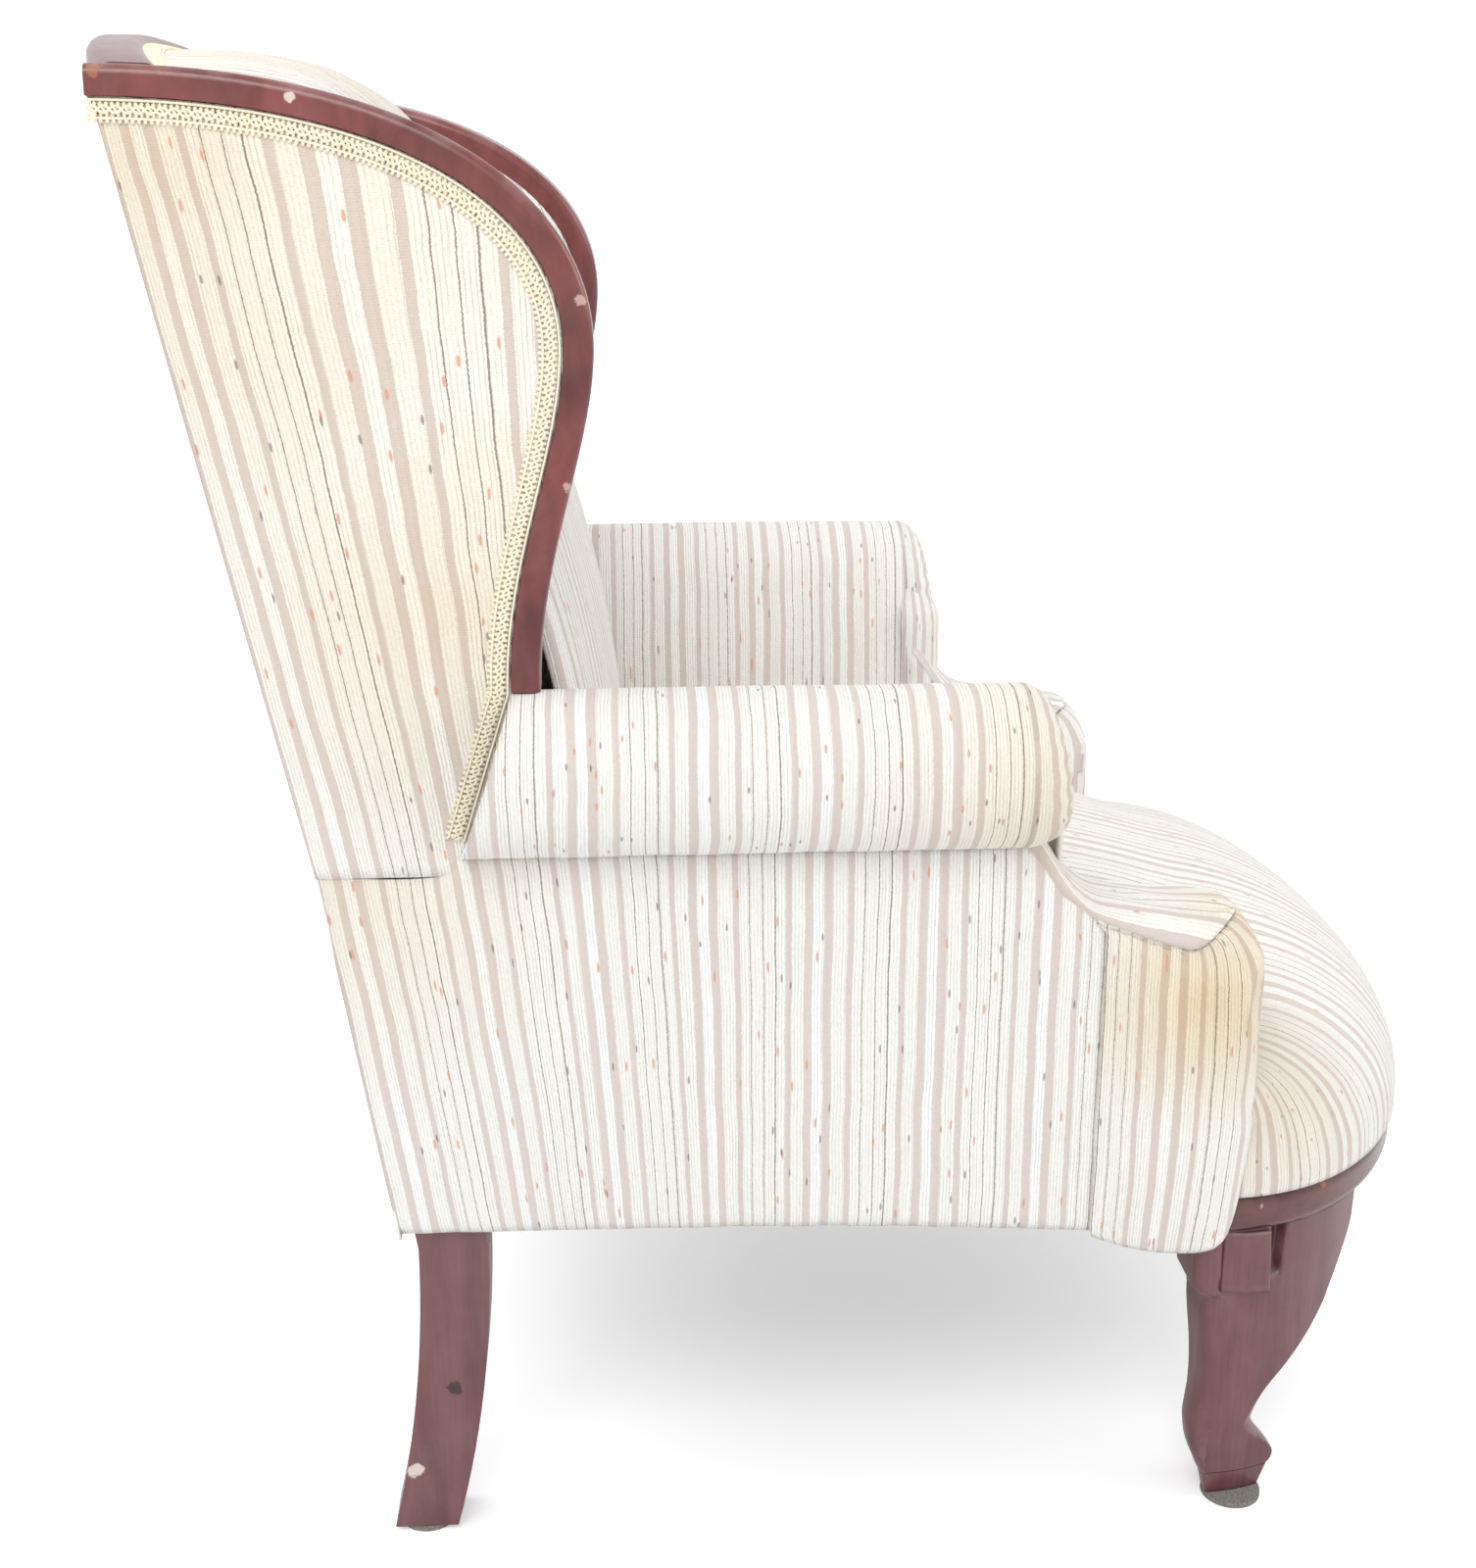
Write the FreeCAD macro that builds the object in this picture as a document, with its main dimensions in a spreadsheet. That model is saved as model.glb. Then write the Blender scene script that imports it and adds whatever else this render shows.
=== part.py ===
import FreeCAD, Part
import math
import os
import re
import Sketcher

Vector = FreeCAD.Vector

# Wingback armchair in millimetres. +Z is up, the sitter faces -Y, and the sitter's right is -X.
# The origin lies on the floor under the middle of the chair.

# Driving sizes: name, value, what it is
SIZES = [
    ("glide_thickness", 4, "felt glide under each foot"),
    ("front_glide_radius", 21, "front glide"),
    ("rear_glide_radius", 20, "rear glide"),
    ("show_rail_bottom", 215, "underside of the bowed show-wood rail"),
    ("show_rail_height", 30, "height of the bowed show-wood rail"),
    ("bow_half_width", 291, "half width of the bowed show-wood rail"),
    ("bow_start", 275, "distance of the bow's widest line in front of the origin"),
    ("bow_reach", 195, "how far the bow comes forward of its widest line"),
    ("bow_rail_width", 55, "width of the bowed rail seen from above"),
    ("bow_nose_radius", 9, "rounded top edge of the bowed rail"),
    ("bow_liner_inset", 22, "beech rail behind the nose of the bow"),
    ("bow_liner_height", 40, "height of the beech bow rail"),
    ("frame_bottom", 236, "underside of the beech seat rails"),
    ("seat_rail_height", 62, "height of the beech seat rails"),
    ("rail_thickness", 25, "thickness of the beech rails"),
    ("side_plane", 300, "outer face of the side covers from the middle"),
    ("inner_half_width", 225, "half width of the seat between the arms"),
    ("cover_thickness", 3, "thickness of the cover fabric with its lining"),
    ("side_wadding", 8, "wadding between frame and side cover"),
    ("back_wadding", 6, "wadding between frame and outside back cover"),
    ("fit_gap", 0.3, "clearance of soft pieces"),
    ("rear_leg_width", 38, "rear leg across the chair"),
    ("rear_leg_joint", 223, "height where the rear leg goes into the covers"),
    ("rear_leg_back", 275, "back edge of the rear leg at that height"),
    ("rear_leg_depth", 47, "rear leg front to back at that height"),
    ("rear_foot_depth", 44, "rear leg front to back at the foot"),
    ("rear_foot_back", 301, "back edge of the rear leg at the foot"),
    ("sabre_back_radius", 930, "back curve of the rear leg"),
    ("sabre_front_radius", 840, "front curve of the rear leg"),
    ("rear_leg_top", 400, "top of the rear leg inside the frame"),
    ("stile_width", 34, "beech back stile across the chair"),
    ("stile_depth", 46, "beech back stile front to back"),
    ("stile_below_tip", 20, "how far the stiles end below the wing rail's tip"),
    ("stile_top", "=wing_tip_height - stile_below_tip", "top of the back stiles"),
    ("waist_height", 493, "height where the rake changes and the side covers meet"),
    ("lower_rake", 0.154, "run over rise of the back below the waist"),
    ("upper_rake", 0.2184, "run over rise of the back above the waist"),
    ("wing_lean", 0.06, "run over rise of the wings towards the middle"),
    ("wing_tip_back", 430, "rear tip of the wing rail"),
    ("wing_tip_height", 977, "top of the wing rail"),
    ("wing_throat_front", 145, "foremost point of the wing rail"),
    ("wing_throat_height", 818, "height of that point"),
    ("wing_foot_front", 182, "front edge of the wing rail's lower end"),
    ("wing_foot_height", 610.5, "lower end of the wing rail"),
    ("wing_rail_face", 18, "width of the wing rail seen from the side"),
    ("wing_rail_depth", 34, "depth of the wing rail across the chair"),
    ("wing_rail_proud", 3, "how far the wing rail stands out of the cover"),
    ("wing_rail_round", 6, "rounded edges of the wing rail"),
    ("gimp_width", 14, "braid along the wing rail and the crest"),
    ("gimp_thickness", 2.5, "thickness of the braid"),
    ("crest_top", "=wing_tip_height + crest_arch", "top of the crest rail in the middle"),
    ("crest_arch", 26, "rise of the crest in the middle"),
    ("crest_bow", 45, "how far the crest bows back in the middle"),
    ("crest_depth", 35, "crest rail front to back"),
    ("crest_height", 30, "crest rail top to bottom"),
    ("crest_round", 9, "rounded edges of the crest rail"),
    ("front_post_width", 54, "beech front post across the chair"),
    ("front_post_front", 270, "front face of the front post"),
    ("front_post_depth", 65, "front post front to back"),
    ("front_post_top", 395, "top of the front post"),
    ("front_leg_side", 76, "side of the cabriole leg's square top"),
    ("knee_side", 78, "side of the cabriole leg at the knee"),
    ("knee_height", 168, "height of the knee"),
    ("knee_out", 251, "middle of the knee across the chair"),
    ("knee_front", 312, "middle of the knee in front of the origin"),
    ("ankle_radius", 22.5, "ankle of the cabriole leg"),
    ("ankle_height", 64, "height of the ankle"),
    ("ankle_out", 262, "middle of the ankle across the chair"),
    ("ankle_front", 289, "middle of the ankle in front of the origin"),
    ("pad_foot_radius", 27.5, "pad foot of the cabriole leg"),
    ("pad_foot_height", 24, "height of the pad foot's rim"),
    ("foot_out", 279, "middle of the front foot across the chair"),
    ("foot_front", 298, "middle of the front foot in front of the origin"),
    ("roll_out", 291.5, "middle of the arm roll across the chair"),
    ("roll_height", 557, "middle of the arm roll above the floor"),
    ("roll_radius", 52.5, "radius of the arm roll"),
    ("roll_front", 146, "front of the arm roll in front of the origin"),
    ("roll_nose", 26, "length of the arm roll's rounded front"),
    ("arm_rail_height", 45, "beech arm rail top to bottom"),
    ("arm_rail_bottom", 530, "underside of the beech arm rail"),
    ("stump_front", 205, "front of the arm stump at its foot"),
    ("stump_back", 110, "back of the arm stump"),
    ("stump_thickness", 32, "arm stump across the chair"),
    ("stuffing_rail_bottom", 350, "lower arm rail that the padding is tacked to"),
    ("stuffing_rail_height", 35, "height of the lower arm rail"),
    ("post_cover_front", 284, "front face of the covered front post"),
    ("post_cover_back", 198, "back edge of the covered front post"),
    ("post_cover_bottom", 212, "lower edge of the post facing"),
    ("post_edge_height", 420, "edge of the covered post's top"),
    ("post_crown_height", 450, "crown of the covered post's top"),
    ("scoop_height", 446, "where the scoop of the arm reaches the front post"),
    ("seat_crown", 440, "top of the seat in the middle"),
    ("seat_edge", 408, "top of the seat beside the arms"),
    ("seat_back_height", 434, "top of the seat under the back"),
    ("seat_platform", 303, "underside of the seat padding"),
    ("seat_front_crown", 418, "top of the seat between the front posts"),
    ("seat_front_edge", 330, "top of the seat's sides where the bow is widest"),
    ("seat_nose", 270, "height of the seat's foremost line"),
    ("seat_overhang", 4, "how far the seat bulges over the bowed rail"),
    ("webbing_width", 50, "seat and back webbing"),
    ("webbing_thickness", 3, "seat and back webbing"),
    ("back_bulge", 20, "crown of the inside back"),
    ("strap_spacing", 64, "seat webbing from strap to strap"),
    ("back_strap_spacing", 88, "back webbing from strap to strap"),
    ("block_leg", 55, "legs of the triangular corner blocks"),
    ("block_inset", 6, "corner blocks above the underside of the seat rails"),
    ("top_rail_height", 60, "upper back rail top to bottom"),
    ("lower_back_rail_height", 44, "stuffing rail of the back top to bottom"),
    ("hanger_bolt_length", 130, "bolt from the front leg into the post"),
    ("ear_drop", 51, "how far the knee ears reach down from the bowed rail"),
    ("side_ear_length", 36, "knee ear on the outside of the leg"),
    ("side_ear_thickness", 8, "thickness of that ear"),
    ("front_ear_length", 34, "knee ear on the front of the leg"),
    ("front_ear_thickness", 22, "thickness of that ear"),
    ("bolt_radius", 4, "leg bolts"),
    ("screw_radius", 2.5, "corner block screws"),
]

doc = FreeCAD.newDocument("wingback_armchair")
sheet = doc.addObject("Spreadsheet::Sheet", "Sizes")
for row, (name, value, meaning) in enumerate(SIZES, start=1):
    sheet.set(f"A{row}", meaning)
    sheet.set(f"B{row}", str(value))
    sheet.setAlias(f"B{row}", name)
doc.recompute()

NAMES = [name for name, _, _ in SIZES]
pieces = []


def size(name):
    return float(sheet.get(name))


def bound(expression):
    """The expression with every size name pointing at the sheet."""
    return re.sub(r"[a-z_]+", lambda word: "Sizes." + word[0] if word[0] in NAMES else word[0], str(expression))


def keep(item, label):
    """Marks an object as a piece of the chair under its own name."""
    item.Label = label
    pieces.append(item)
    return item


def box(name, x, y, z):
    """A board between two expressions on each axis."""
    board = doc.addObject("Part::Box", name)
    for side, axis, (low, high) in (("Length", "x", x), ("Width", "y", y), ("Height", "z", z)):
        board.setExpression(side, bound(f"({high}) - ({low})"))
        board.setExpression("Placement.Base." + axis, bound(low))
    return board


def rod(name, radius, length, base, direction):
    """A round rod from a point given by expressions, along X, Y or Z."""
    item = doc.addObject("Part::Cylinder", name)
    turn = {"x": (Vector(0, 1, 0), 90), "y": (Vector(1, 0, 0), -90), "z": (Vector(0, 0, 1), 0)}[direction]
    item.Placement = FreeCAD.Placement(Vector(), FreeCAD.Rotation(*turn))
    item.setExpression("Radius", bound(radius))
    item.setExpression("Height", bound(length))
    for axis, expression in zip("xyz", base):
        item.setExpression("Placement.Base." + axis, bound(expression))
    return item


def mirrored(source, name):
    """The same piece on the other side of the chair."""
    twin = doc.addObject("Part::Mirroring", name)
    twin.Source = source
    twin.Normal = Vector(1, 0, 0)
    return twin


def pair(source, stem):
    """Keeps a piece of the sitter's right side and its mirror image on the left."""
    keep(source, stem + "_right")
    keep(mirrored(source, stem + "_left"), stem + "_left")


def cut(name, base, tools):
    """The base without the space of each tool."""
    group = tools[0]
    if len(tools) > 1:
        group = doc.addObject("Part::MultiFuse", name + "_tools")
        group.Shapes = tools
    result = doc.addObject("Part::Cut", name)
    result.Base = base
    result.Tool = group
    return result


def group(name, items):
    """Separate solids that share one node."""
    holder = doc.addObject("Part::Compound", name)
    holder.Links = items
    return holder


def formed(name, shape):
    """A curved or lofted piece whose shape is set directly."""
    item = doc.addObject("Part::Feature", name)
    item.Shape = shape
    return item


def side_body(name, outline, low, high):
    """A padded sketch in the side plane. Each outline entry is (y, z) or (y, z, radius of the arc to it)."""
    doc.recompute()
    body = doc.addObject("PartDesign::Body", name)
    sketch = body.newObject("Sketcher::SketchObject", name + "_outline")
    plane = [item for item in body.Origin.OriginFeatures if item.Role == "YZ_Plane"][0]
    sketch.AttachmentSupport = [(plane, "")]
    sketch.MapMode = "FlatFace"
    corners = [Vector(number(entry[0]), number(entry[1]), 0) for entry in outline]
    count = len(corners)
    for index, entry in enumerate(outline):
        start, end = corners[index - 1], corners[index]
        if len(entry) == 3:
            radius = number(entry[2])
            chord = end - start
            rise = abs(radius) - math.sqrt(radius ** 2 - (chord.Length / 2) ** 2)
            side = Vector(-chord.y, chord.x, 0).normalize() * math.copysign(rise, radius)
            sketch.addGeometry(Part.Arc(start, (start + end) / 2 + side, end), False)
        else:
            sketch.addGeometry(Part.LineSegment(start, end), False)
    arcs = [index for index, entry in enumerate(outline) if len(entry) == 3]
    for index, entry in enumerate(outline):
        ends = sketch_ends(sketch, index, corners[index - 1])
        following = sketch_ends(sketch, (index + 1) % count, corners[index])
        sketch.addConstraint(Sketcher.Constraint("Coincident", index, ends[1], (index + 1) % count, following[0]))
        for kind, expression, value in (("DistanceX", entry[0], corners[index].x), ("DistanceY", entry[1], corners[index].y)):
            place = sketch.addConstraint(Sketcher.Constraint(kind, -1, 1, index, ends[1], value))
            sketch.setExpression(f"Constraints[{place}]", bound(expression))
    for index in arcs:
        place = sketch.addConstraint(Sketcher.Constraint("Radius", index, abs(number(outline[index][2]))))
        sketch.setExpression(f"Constraints[{place}]", bound(f"abs({outline[index][2]})"))
    pad = body.newObject("PartDesign::Pad", name + "_pad")
    pad.Profile = sketch
    pad.setExpression("Length", bound(f"({high}) - ({low})"))
    body.setExpression("Placement.Base.x", bound(low))
    return body


def number(expression):
    """The value that an expression of size names has now."""
    names = {name: size(name) for name in NAMES if name in str(expression)}
    return FreeCAD.Units.Quantity(re.sub(r"[a-z_]+", lambda word: repr(names[word[0]]), str(expression))).Value


def sketch_ends(sketch, index, start):
    """Which end of a sketch edge is its start: an arc may be stored the other way round."""
    first = sketch.getPoint(index, 1)
    return (1, 2) if first.distanceToPoint(start) < 1e-6 else (2, 1)


def rear_line(z):
    """The back face of the stiles at a height."""
    knee = size("rear_leg_back") + (size("waist_height") - size("rear_leg_joint")) * size("lower_rake")
    if z < size("waist_height"):
        return knee + (z - size("waist_height")) * size("lower_rake")
    return knee + (z - size("waist_height")) * size("upper_rake")


def face_between(*edges):
    """A flat face inside a closed run of edges."""
    return Part.Face(Part.Wire(Part.__sortEdges__(list(edges))))


def polygon(points):
    """A flat face with straight sides."""
    return Part.Face(Part.makePolygon([Vector(*point) for point in points] + [Vector(*points[0])]))


def rounded(shape, edges, radius):
    """The shape with a fillet on the named edges."""
    return shape.makeFillet(radius, edges)


def loft(wires, ruled=False):
    """A closed solid through wires of lines and arcs."""
    return Part.makeLoft(wires, True, ruled)


def arch_wire(y, half_width, bottom, shoulder, crown, middle=0):
    """A section across the chair: flat below, upright sides and an arched top."""
    low_left, low_right = Vector(middle - half_width, y, bottom), Vector(middle + half_width, y, bottom)
    high_left, high_right = Vector(middle - half_width, y, shoulder), Vector(middle + half_width, y, shoulder)
    top = Vector(middle, y, crown)
    return Part.Wire([
        Part.makeLine(low_left, low_right),
        Part.makeLine(low_right, high_right),
        Part.Arc(high_right, top, high_left).toShape(),
        Part.makeLine(high_left, low_left),
    ])


# Rear legs and back stiles
upper_knee = "rear_leg_back + (waist_height - rear_leg_joint) * lower_rake"
leg_head = "rear_leg_back + (rear_leg_top - rear_leg_joint) * lower_rake"
stile_head = f"{upper_knee} + (stile_top - waist_height) * upper_rake"
frame_face = "side_plane - cover_thickness - side_wadding"
leg_inner = f"({frame_face}) - rear_leg_width"
stile_inner = f"({leg_inner}) - stile_width"
bolt_heights = ["rear_leg_joint + 40", "rear_leg_joint + 130"]

rear_leg_blank = side_body("rear_leg_blank", [
    ("rear_foot_back - rear_foot_depth", "glide_thickness", "-sabre_front_radius"),
    ("rear_foot_back", "glide_thickness"),
    ("rear_leg_back", "rear_leg_joint", "sabre_back_radius"),
    (leg_head, "rear_leg_top"),
    (f"{leg_head} - rear_leg_depth", "rear_leg_top"),
    ("rear_leg_back - rear_leg_depth", "rear_leg_joint"),
], f"-({frame_face})", f"-({leg_inner})")
stile_blank = side_body("stile_blank", [
    ("rear_leg_back - (rear_leg_joint - frame_bottom) * lower_rake - stile_depth", "frame_bottom"),
    ("rear_leg_back - (rear_leg_joint - frame_bottom) * lower_rake", "frame_bottom"),
    (upper_knee, "waist_height"),
    (stile_head, "stile_top"),
    (f"{stile_head} - stile_depth", "stile_top"),
    (f"{upper_knee} - stile_depth", "waist_height"),
], f"-({leg_inner})", f"-({stile_inner})")
rear_bolts = [
    rod(f"rear_bolt_{index}", "bolt_radius", "rear_leg_width + stile_width",
        (f"-({frame_face})", "rear_leg_back - rear_leg_depth / 2 + " + f"({height} - rear_leg_joint) * lower_rake",
         height), "x")
    for index, height in enumerate(bolt_heights)
]
pair(cut("rear_leg", rear_leg_blank, rear_bolts), "rear_leg")

# Wing fillets: wedges on the stiles that set the lean of the wings
fillet_blank = side_body("fillet_blank", [
    (leg_head, "rear_leg_top"),
    (upper_knee, "waist_height"),
    (stile_head, "stile_top"),
    (f"{stile_head} - stile_depth", "stile_top"),
    (f"{upper_knee} - stile_depth", "waist_height"),
    (f"{leg_head} - stile_depth", "rear_leg_top"),
], f"-({frame_face})", f"-({leg_inner})")
doc.recompute()
frame_out = size("side_plane") - size("cover_thickness") - size("side_wadding")
layers = size("cover_thickness") + size("side_wadding")
waist_out = size("side_plane") - layers * math.hypot(1, size("wing_lean"))
wing_top_out = waist_out - (size("stile_top") - size("waist_height")) * size("wing_lean")
lean_waste = polygon([
    (-frame_out - 1, 0, size("waist_height")),
    (-waist_out, 0, size("waist_height")),
    (-wing_top_out, 0, size("stile_top")),
    (-wing_top_out, 0, size("stile_top") + 1),
    (-frame_out - 1, 0, size("stile_top") + 1),
]).extrude(Vector(0, 2 * size("wing_tip_back"), 0))
fillet_waste = formed("fillet_waste", lean_waste)


# Wing rails: two curves from the rear tip over the throat to the foot
wing_turn = FreeCAD.Rotation(Vector(0, 1, 0), math.degrees(math.atan(size("wing_lean"))))


def wing_curves(inset, depth):
    """The wing rail's outline moved inwards by an inset, as two curves in the wing's own plane."""
    waist = size("waist_height")
    tip = Vector(depth, size("wing_tip_back"), size("wing_tip_height") - waist - inset)
    throat = Vector(depth, size("wing_throat_front") + inset, size("wing_throat_height") - waist)
    foot = Vector(depth, size("wing_foot_front") + inset, size("wing_foot_height") - waist)
    reach = (tip.y - throat.y) * 0.6
    drop = (tip.z - throat.z) * 0.62
    fall = throat.z - foot.z
    upper = Part.BezierCurve()
    upper.setPoles([tip, tip - Vector(0, reach, 0), throat + Vector(0, 0, drop), throat])
    lower = Part.BezierCurve()
    lower.setPoles([throat, throat - Vector(0, 0, fall * 0.28), foot + Vector(0, 0, fall * 0.39), foot])
    return [upper.toShape(), lower.toShape()]


def wing_band(outer_inset, inner_inset, depth, thickness):
    """A band along the wing rail's outline, between two insets."""
    outer, inner = wing_curves(outer_inset, depth), wing_curves(inner_inset, depth)
    tip_line = Part.makeLine(outer[0].Vertexes[0].Point, inner[0].Vertexes[0].Point)
    foot_line = Part.makeLine(outer[1].Vertexes[1].Point, inner[1].Vertexes[1].Point)
    return face_between(*outer, *inner, tip_line, foot_line).extrude(Vector(thickness, 0, 0))


def wing_placed(item):
    """Puts a piece made in the wing's own plane where the wing leans."""
    item.Placement = FreeCAD.Placement(Vector(-size("side_plane"), 0, size("waist_height")), wing_turn)
    return item


wing_rail = wing_band(0, size("wing_rail_face"), -size("wing_rail_proud"), size("wing_rail_depth"))
long_edges = [edge for edge in wing_rail.Edges if edge.Length > 2 * size("wing_rail_depth")]
show_edges = [edge for edge in long_edges if edge.BoundBox.YMin < size("wing_throat_front") + 1
              or edge.BoundBox.YMin < size("wing_throat_front") + size("wing_rail_face") / 2]
wing_rail = rounded(wing_rail, show_edges, size("wing_rail_round"))
tenon_side = size("wing_rail_face") - 3
tenon_foot = size("arm_rail_bottom") + size("arm_rail_height") - size("waist_height")
tenon = Part.makeBox(
    tenon_side, tenon_side, size("wing_foot_height") - size("waist_height") - tenon_foot + 1,
    Vector(size("wing_rail_depth") / 2 - tenon_side / 2, size("wing_foot_front") + 2, tenon_foot + 2))
wing_rail = wing_rail.fuse(tenon)
wing_rail_piece = wing_placed(formed("wing_rail", wing_rail))
pair(wing_rail_piece, "wing_rail")
pair(cut("wing_fillet", fillet_blank, [fillet_waste, wing_rail_piece]), "wing_fillet")


# Crest rail: an arc that rises and bows back between the wing rails
rail_inner = size("wing_rail_depth") - size("wing_rail_proud")
crest_end_lift = size("crest_top") - size("crest_arch") - size("waist_height")
crest_half = size("side_plane") - rail_inner - crest_end_lift * size("wing_lean")
crest_rear = size("wing_tip_back") - 2
crest_low = size("crest_top") - size("crest_arch") - size("crest_height")


def crest_sweep(depth_back, depth, low, height, spread=30):
    """A bar of square section along the crest's arc, past its ends by a spread."""
    reach = crest_half + spread
    bow = size("crest_bow") * (reach / crest_half) ** 2
    arch = size("crest_arch") * (reach / crest_half) ** 2
    drop = Vector(0, size("crest_bow") - bow, size("crest_arch") - arch)
    corners = [(crest_rear - depth_back, low), (crest_rear - depth_back - depth, low),
               (crest_rear - depth_back - depth, low + height), (crest_rear - depth_back, low + height)]
    middle_points = [Vector(0, y + size("crest_bow"), z + size("crest_arch")) for y, z in corners]
    chord = Vector(reach, bow * -1, arch * -1)
    slope = Vector(0, bow, arch)
    radius = (reach ** 2 + slope.Length ** 2) / (2 * slope.Length)
    centre = middle_points[0] - slope.normalize() * radius
    axis = Vector(1, 0, 0).cross(slope).normalize()
    half_angle = math.degrees(math.asin(reach / radius))
    section = Part.Face(Part.makePolygon(middle_points + [middle_points[0]]))
    start = section.copy()
    start.rotate(centre, axis, -half_angle)
    return start.revolve(centre, axis, 2 * half_angle)


def between_wings(shape, half_low, half_high):
    """Trims a bar to the leaning inner faces of the wings."""
    low, high = crest_low - 100, size("crest_top") + 20
    mask = polygon([
        (-half_low, 0, low), (half_low, 0, low), (half_high, 0, high), (-half_high, 0, high),
    ]).extrude(Vector(0, 2 * size("wing_tip_back"), 0))
    return shape.common(mask)


def inner_half(z, depth):
    """Half width between the wings at a height, at a depth in from their outer faces."""
    return size("side_plane") - depth - (z - size("waist_height")) * size("wing_lean")


crest = crest_sweep(0, size("crest_depth"), crest_low, size("crest_height"))
crest_edges = [edge for edge in crest.Edges if edge.Length > 2 * crest_half]
crest = rounded(crest, crest_edges, size("crest_round"))
crest = between_wings(crest, inner_half(crest_low - 100, rail_inner + size("fit_gap")),
                      inner_half(size("crest_top") + 20, rail_inner + size("fit_gap")))
crest_piece = formed("crest_rail", crest)
keep(crest_piece, "crest_rail")
pair(cut("back_stile", stile_blank, rear_bolts + [crest_piece, wing_rail_piece]), "back_stile")

# Upper back rail and webbing rails between the stiles
stile_in = frame_out - size("rear_leg_width") - size("stile_width")


def raked_bar(name, low, height, front, depth, half_width):
    """A bar across the back that follows the upper rake."""
    y_low, y_high = rear_line(low) - front, rear_line(low + height) - front
    bar = polygon([
        (-half_width, y_low, low), (-half_width, y_low + depth, low),
        (-half_width, y_high + depth, low + height), (-half_width, y_high, low + height),
    ]).extrude(Vector(2 * half_width, 0, 0))
    return formed(name, bar)


stile_depth = size("stile_depth")
top_rail_height = size("top_rail_height")
keep(raked_bar("upper_back_rail", crest_low - top_rail_height - 1, top_rail_height, stile_depth,
               size("rail_thickness"), stile_in), "upper_back_rail")
keep(raked_bar("back_stuffing_rail", size("seat_back_height") + 6, size("lower_back_rail_height"), stile_depth,
               size("rail_thickness"), stile_in), "back_stuffing_rail")

# Seat rails
rail_top = "frame_bottom + seat_rail_height"
seat_rail_rear = "rear_leg_back - rear_leg_depth"
keep(box("back_seat_rail", (f"-({stile_inner})", stile_inner), ("rear_leg_back - stile_depth + 3", "rear_leg_back - 8"),
         ("frame_bottom", rail_top)), "back_seat_rail")
pair(box("side_seat_rail", (f"-({frame_face})", f"rail_thickness - ({frame_face})"),
         ("front_post_depth - front_post_front", seat_rail_rear), ("frame_bottom", rail_top)), "side_seat_rail")
post_inner = f"({frame_face}) - front_post_width"
keep(box("front_seat_rail", (f"-({post_inner})", post_inner),
         ("front_post_depth - front_post_front - rail_thickness - 5", "front_post_depth - front_post_front - 5"),
         ("frame_bottom", rail_top)), "front_seat_rail")


# Bowed show-wood rail and the beech rail behind its nose
def bow_ring(name, outer_inset, inner_inset, low, height):
    """Half an elliptical ring round the front of the seat, with short straight ends on the posts."""
    start = -size("bow_start")
    lead = size("bow_start") - size("front_post_front")
    rings = []
    for inset in (outer_inset, inner_inset):
        half_width, reach = size("bow_half_width") - inset, size("bow_reach") - inset
        ellipse = Part.Ellipse(Vector(0, start, low), half_width, reach)
        rings.append((half_width, Part.Arc(ellipse, math.pi, 2 * math.pi).toShape()))
    edges = [edge for _, edge in rings]
    for sign in (-1, 1):
        edges += [Part.makeLine(Vector(sign * half_width, start, low), Vector(sign * half_width, start + lead, low))
                  for half_width, _ in rings]
        edges.append(Part.makeLine(Vector(sign * rings[0][0], start + lead, low),
                                   Vector(sign * rings[1][0], start + lead, low)))
    return face_between(*edges).extrude(Vector(0, 0, height))


bow_low = size("show_rail_bottom")
bow_high = bow_low + size("show_rail_height")
bow_rail = bow_ring("bow_rail", 0, size("bow_rail_width"), bow_low, size("show_rail_height"))
outer_edges = [edge for edge in bow_rail.Edges if edge.BoundBox.YMin < 1 - size("bow_start") - size("bow_reach")
               and edge.BoundBox.ZLength < 1]
bow_rail = bow_rail.makeFillet(size("bow_nose_radius"), outer_edges)
keep(formed("bow_show_rail", bow_rail), "bow_show_rail")
bow_liner = bow_ring("bow_liner", size("bow_liner_inset"), size("bow_rail_width"), bow_high, size("bow_liner_height"))
keep(formed("bow_inner_rail", bow_liner), "bow_inner_rail")


# Front legs: cabriole legs lofted from a square knee over a round ankle to a pad foot
def rounded_square(middle_x, middle_y, z, side, radius):
    """A square wire with round corners, the same count of edges at every height."""
    half, flat = side / 2, side / 2 - radius
    edges = []
    for turn in range(4):
        corner = math.pi / 2 * turn
        along, across = Vector(math.cos(corner), math.sin(corner), 0), Vector(-math.sin(corner), math.cos(corner), 0)
        middle = Vector(middle_x, middle_y, z)
        start = middle + along * half - across * flat
        end = middle + along * half + across * flat
        round_end = middle + along * flat + across * half
        bend = middle + (along + across) * (flat + radius * math.sqrt(0.5))
        edges += [Part.makeLine(start, end), Part.Arc(end, bend, round_end).toShape()]
    return Part.Wire(edges)


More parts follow.
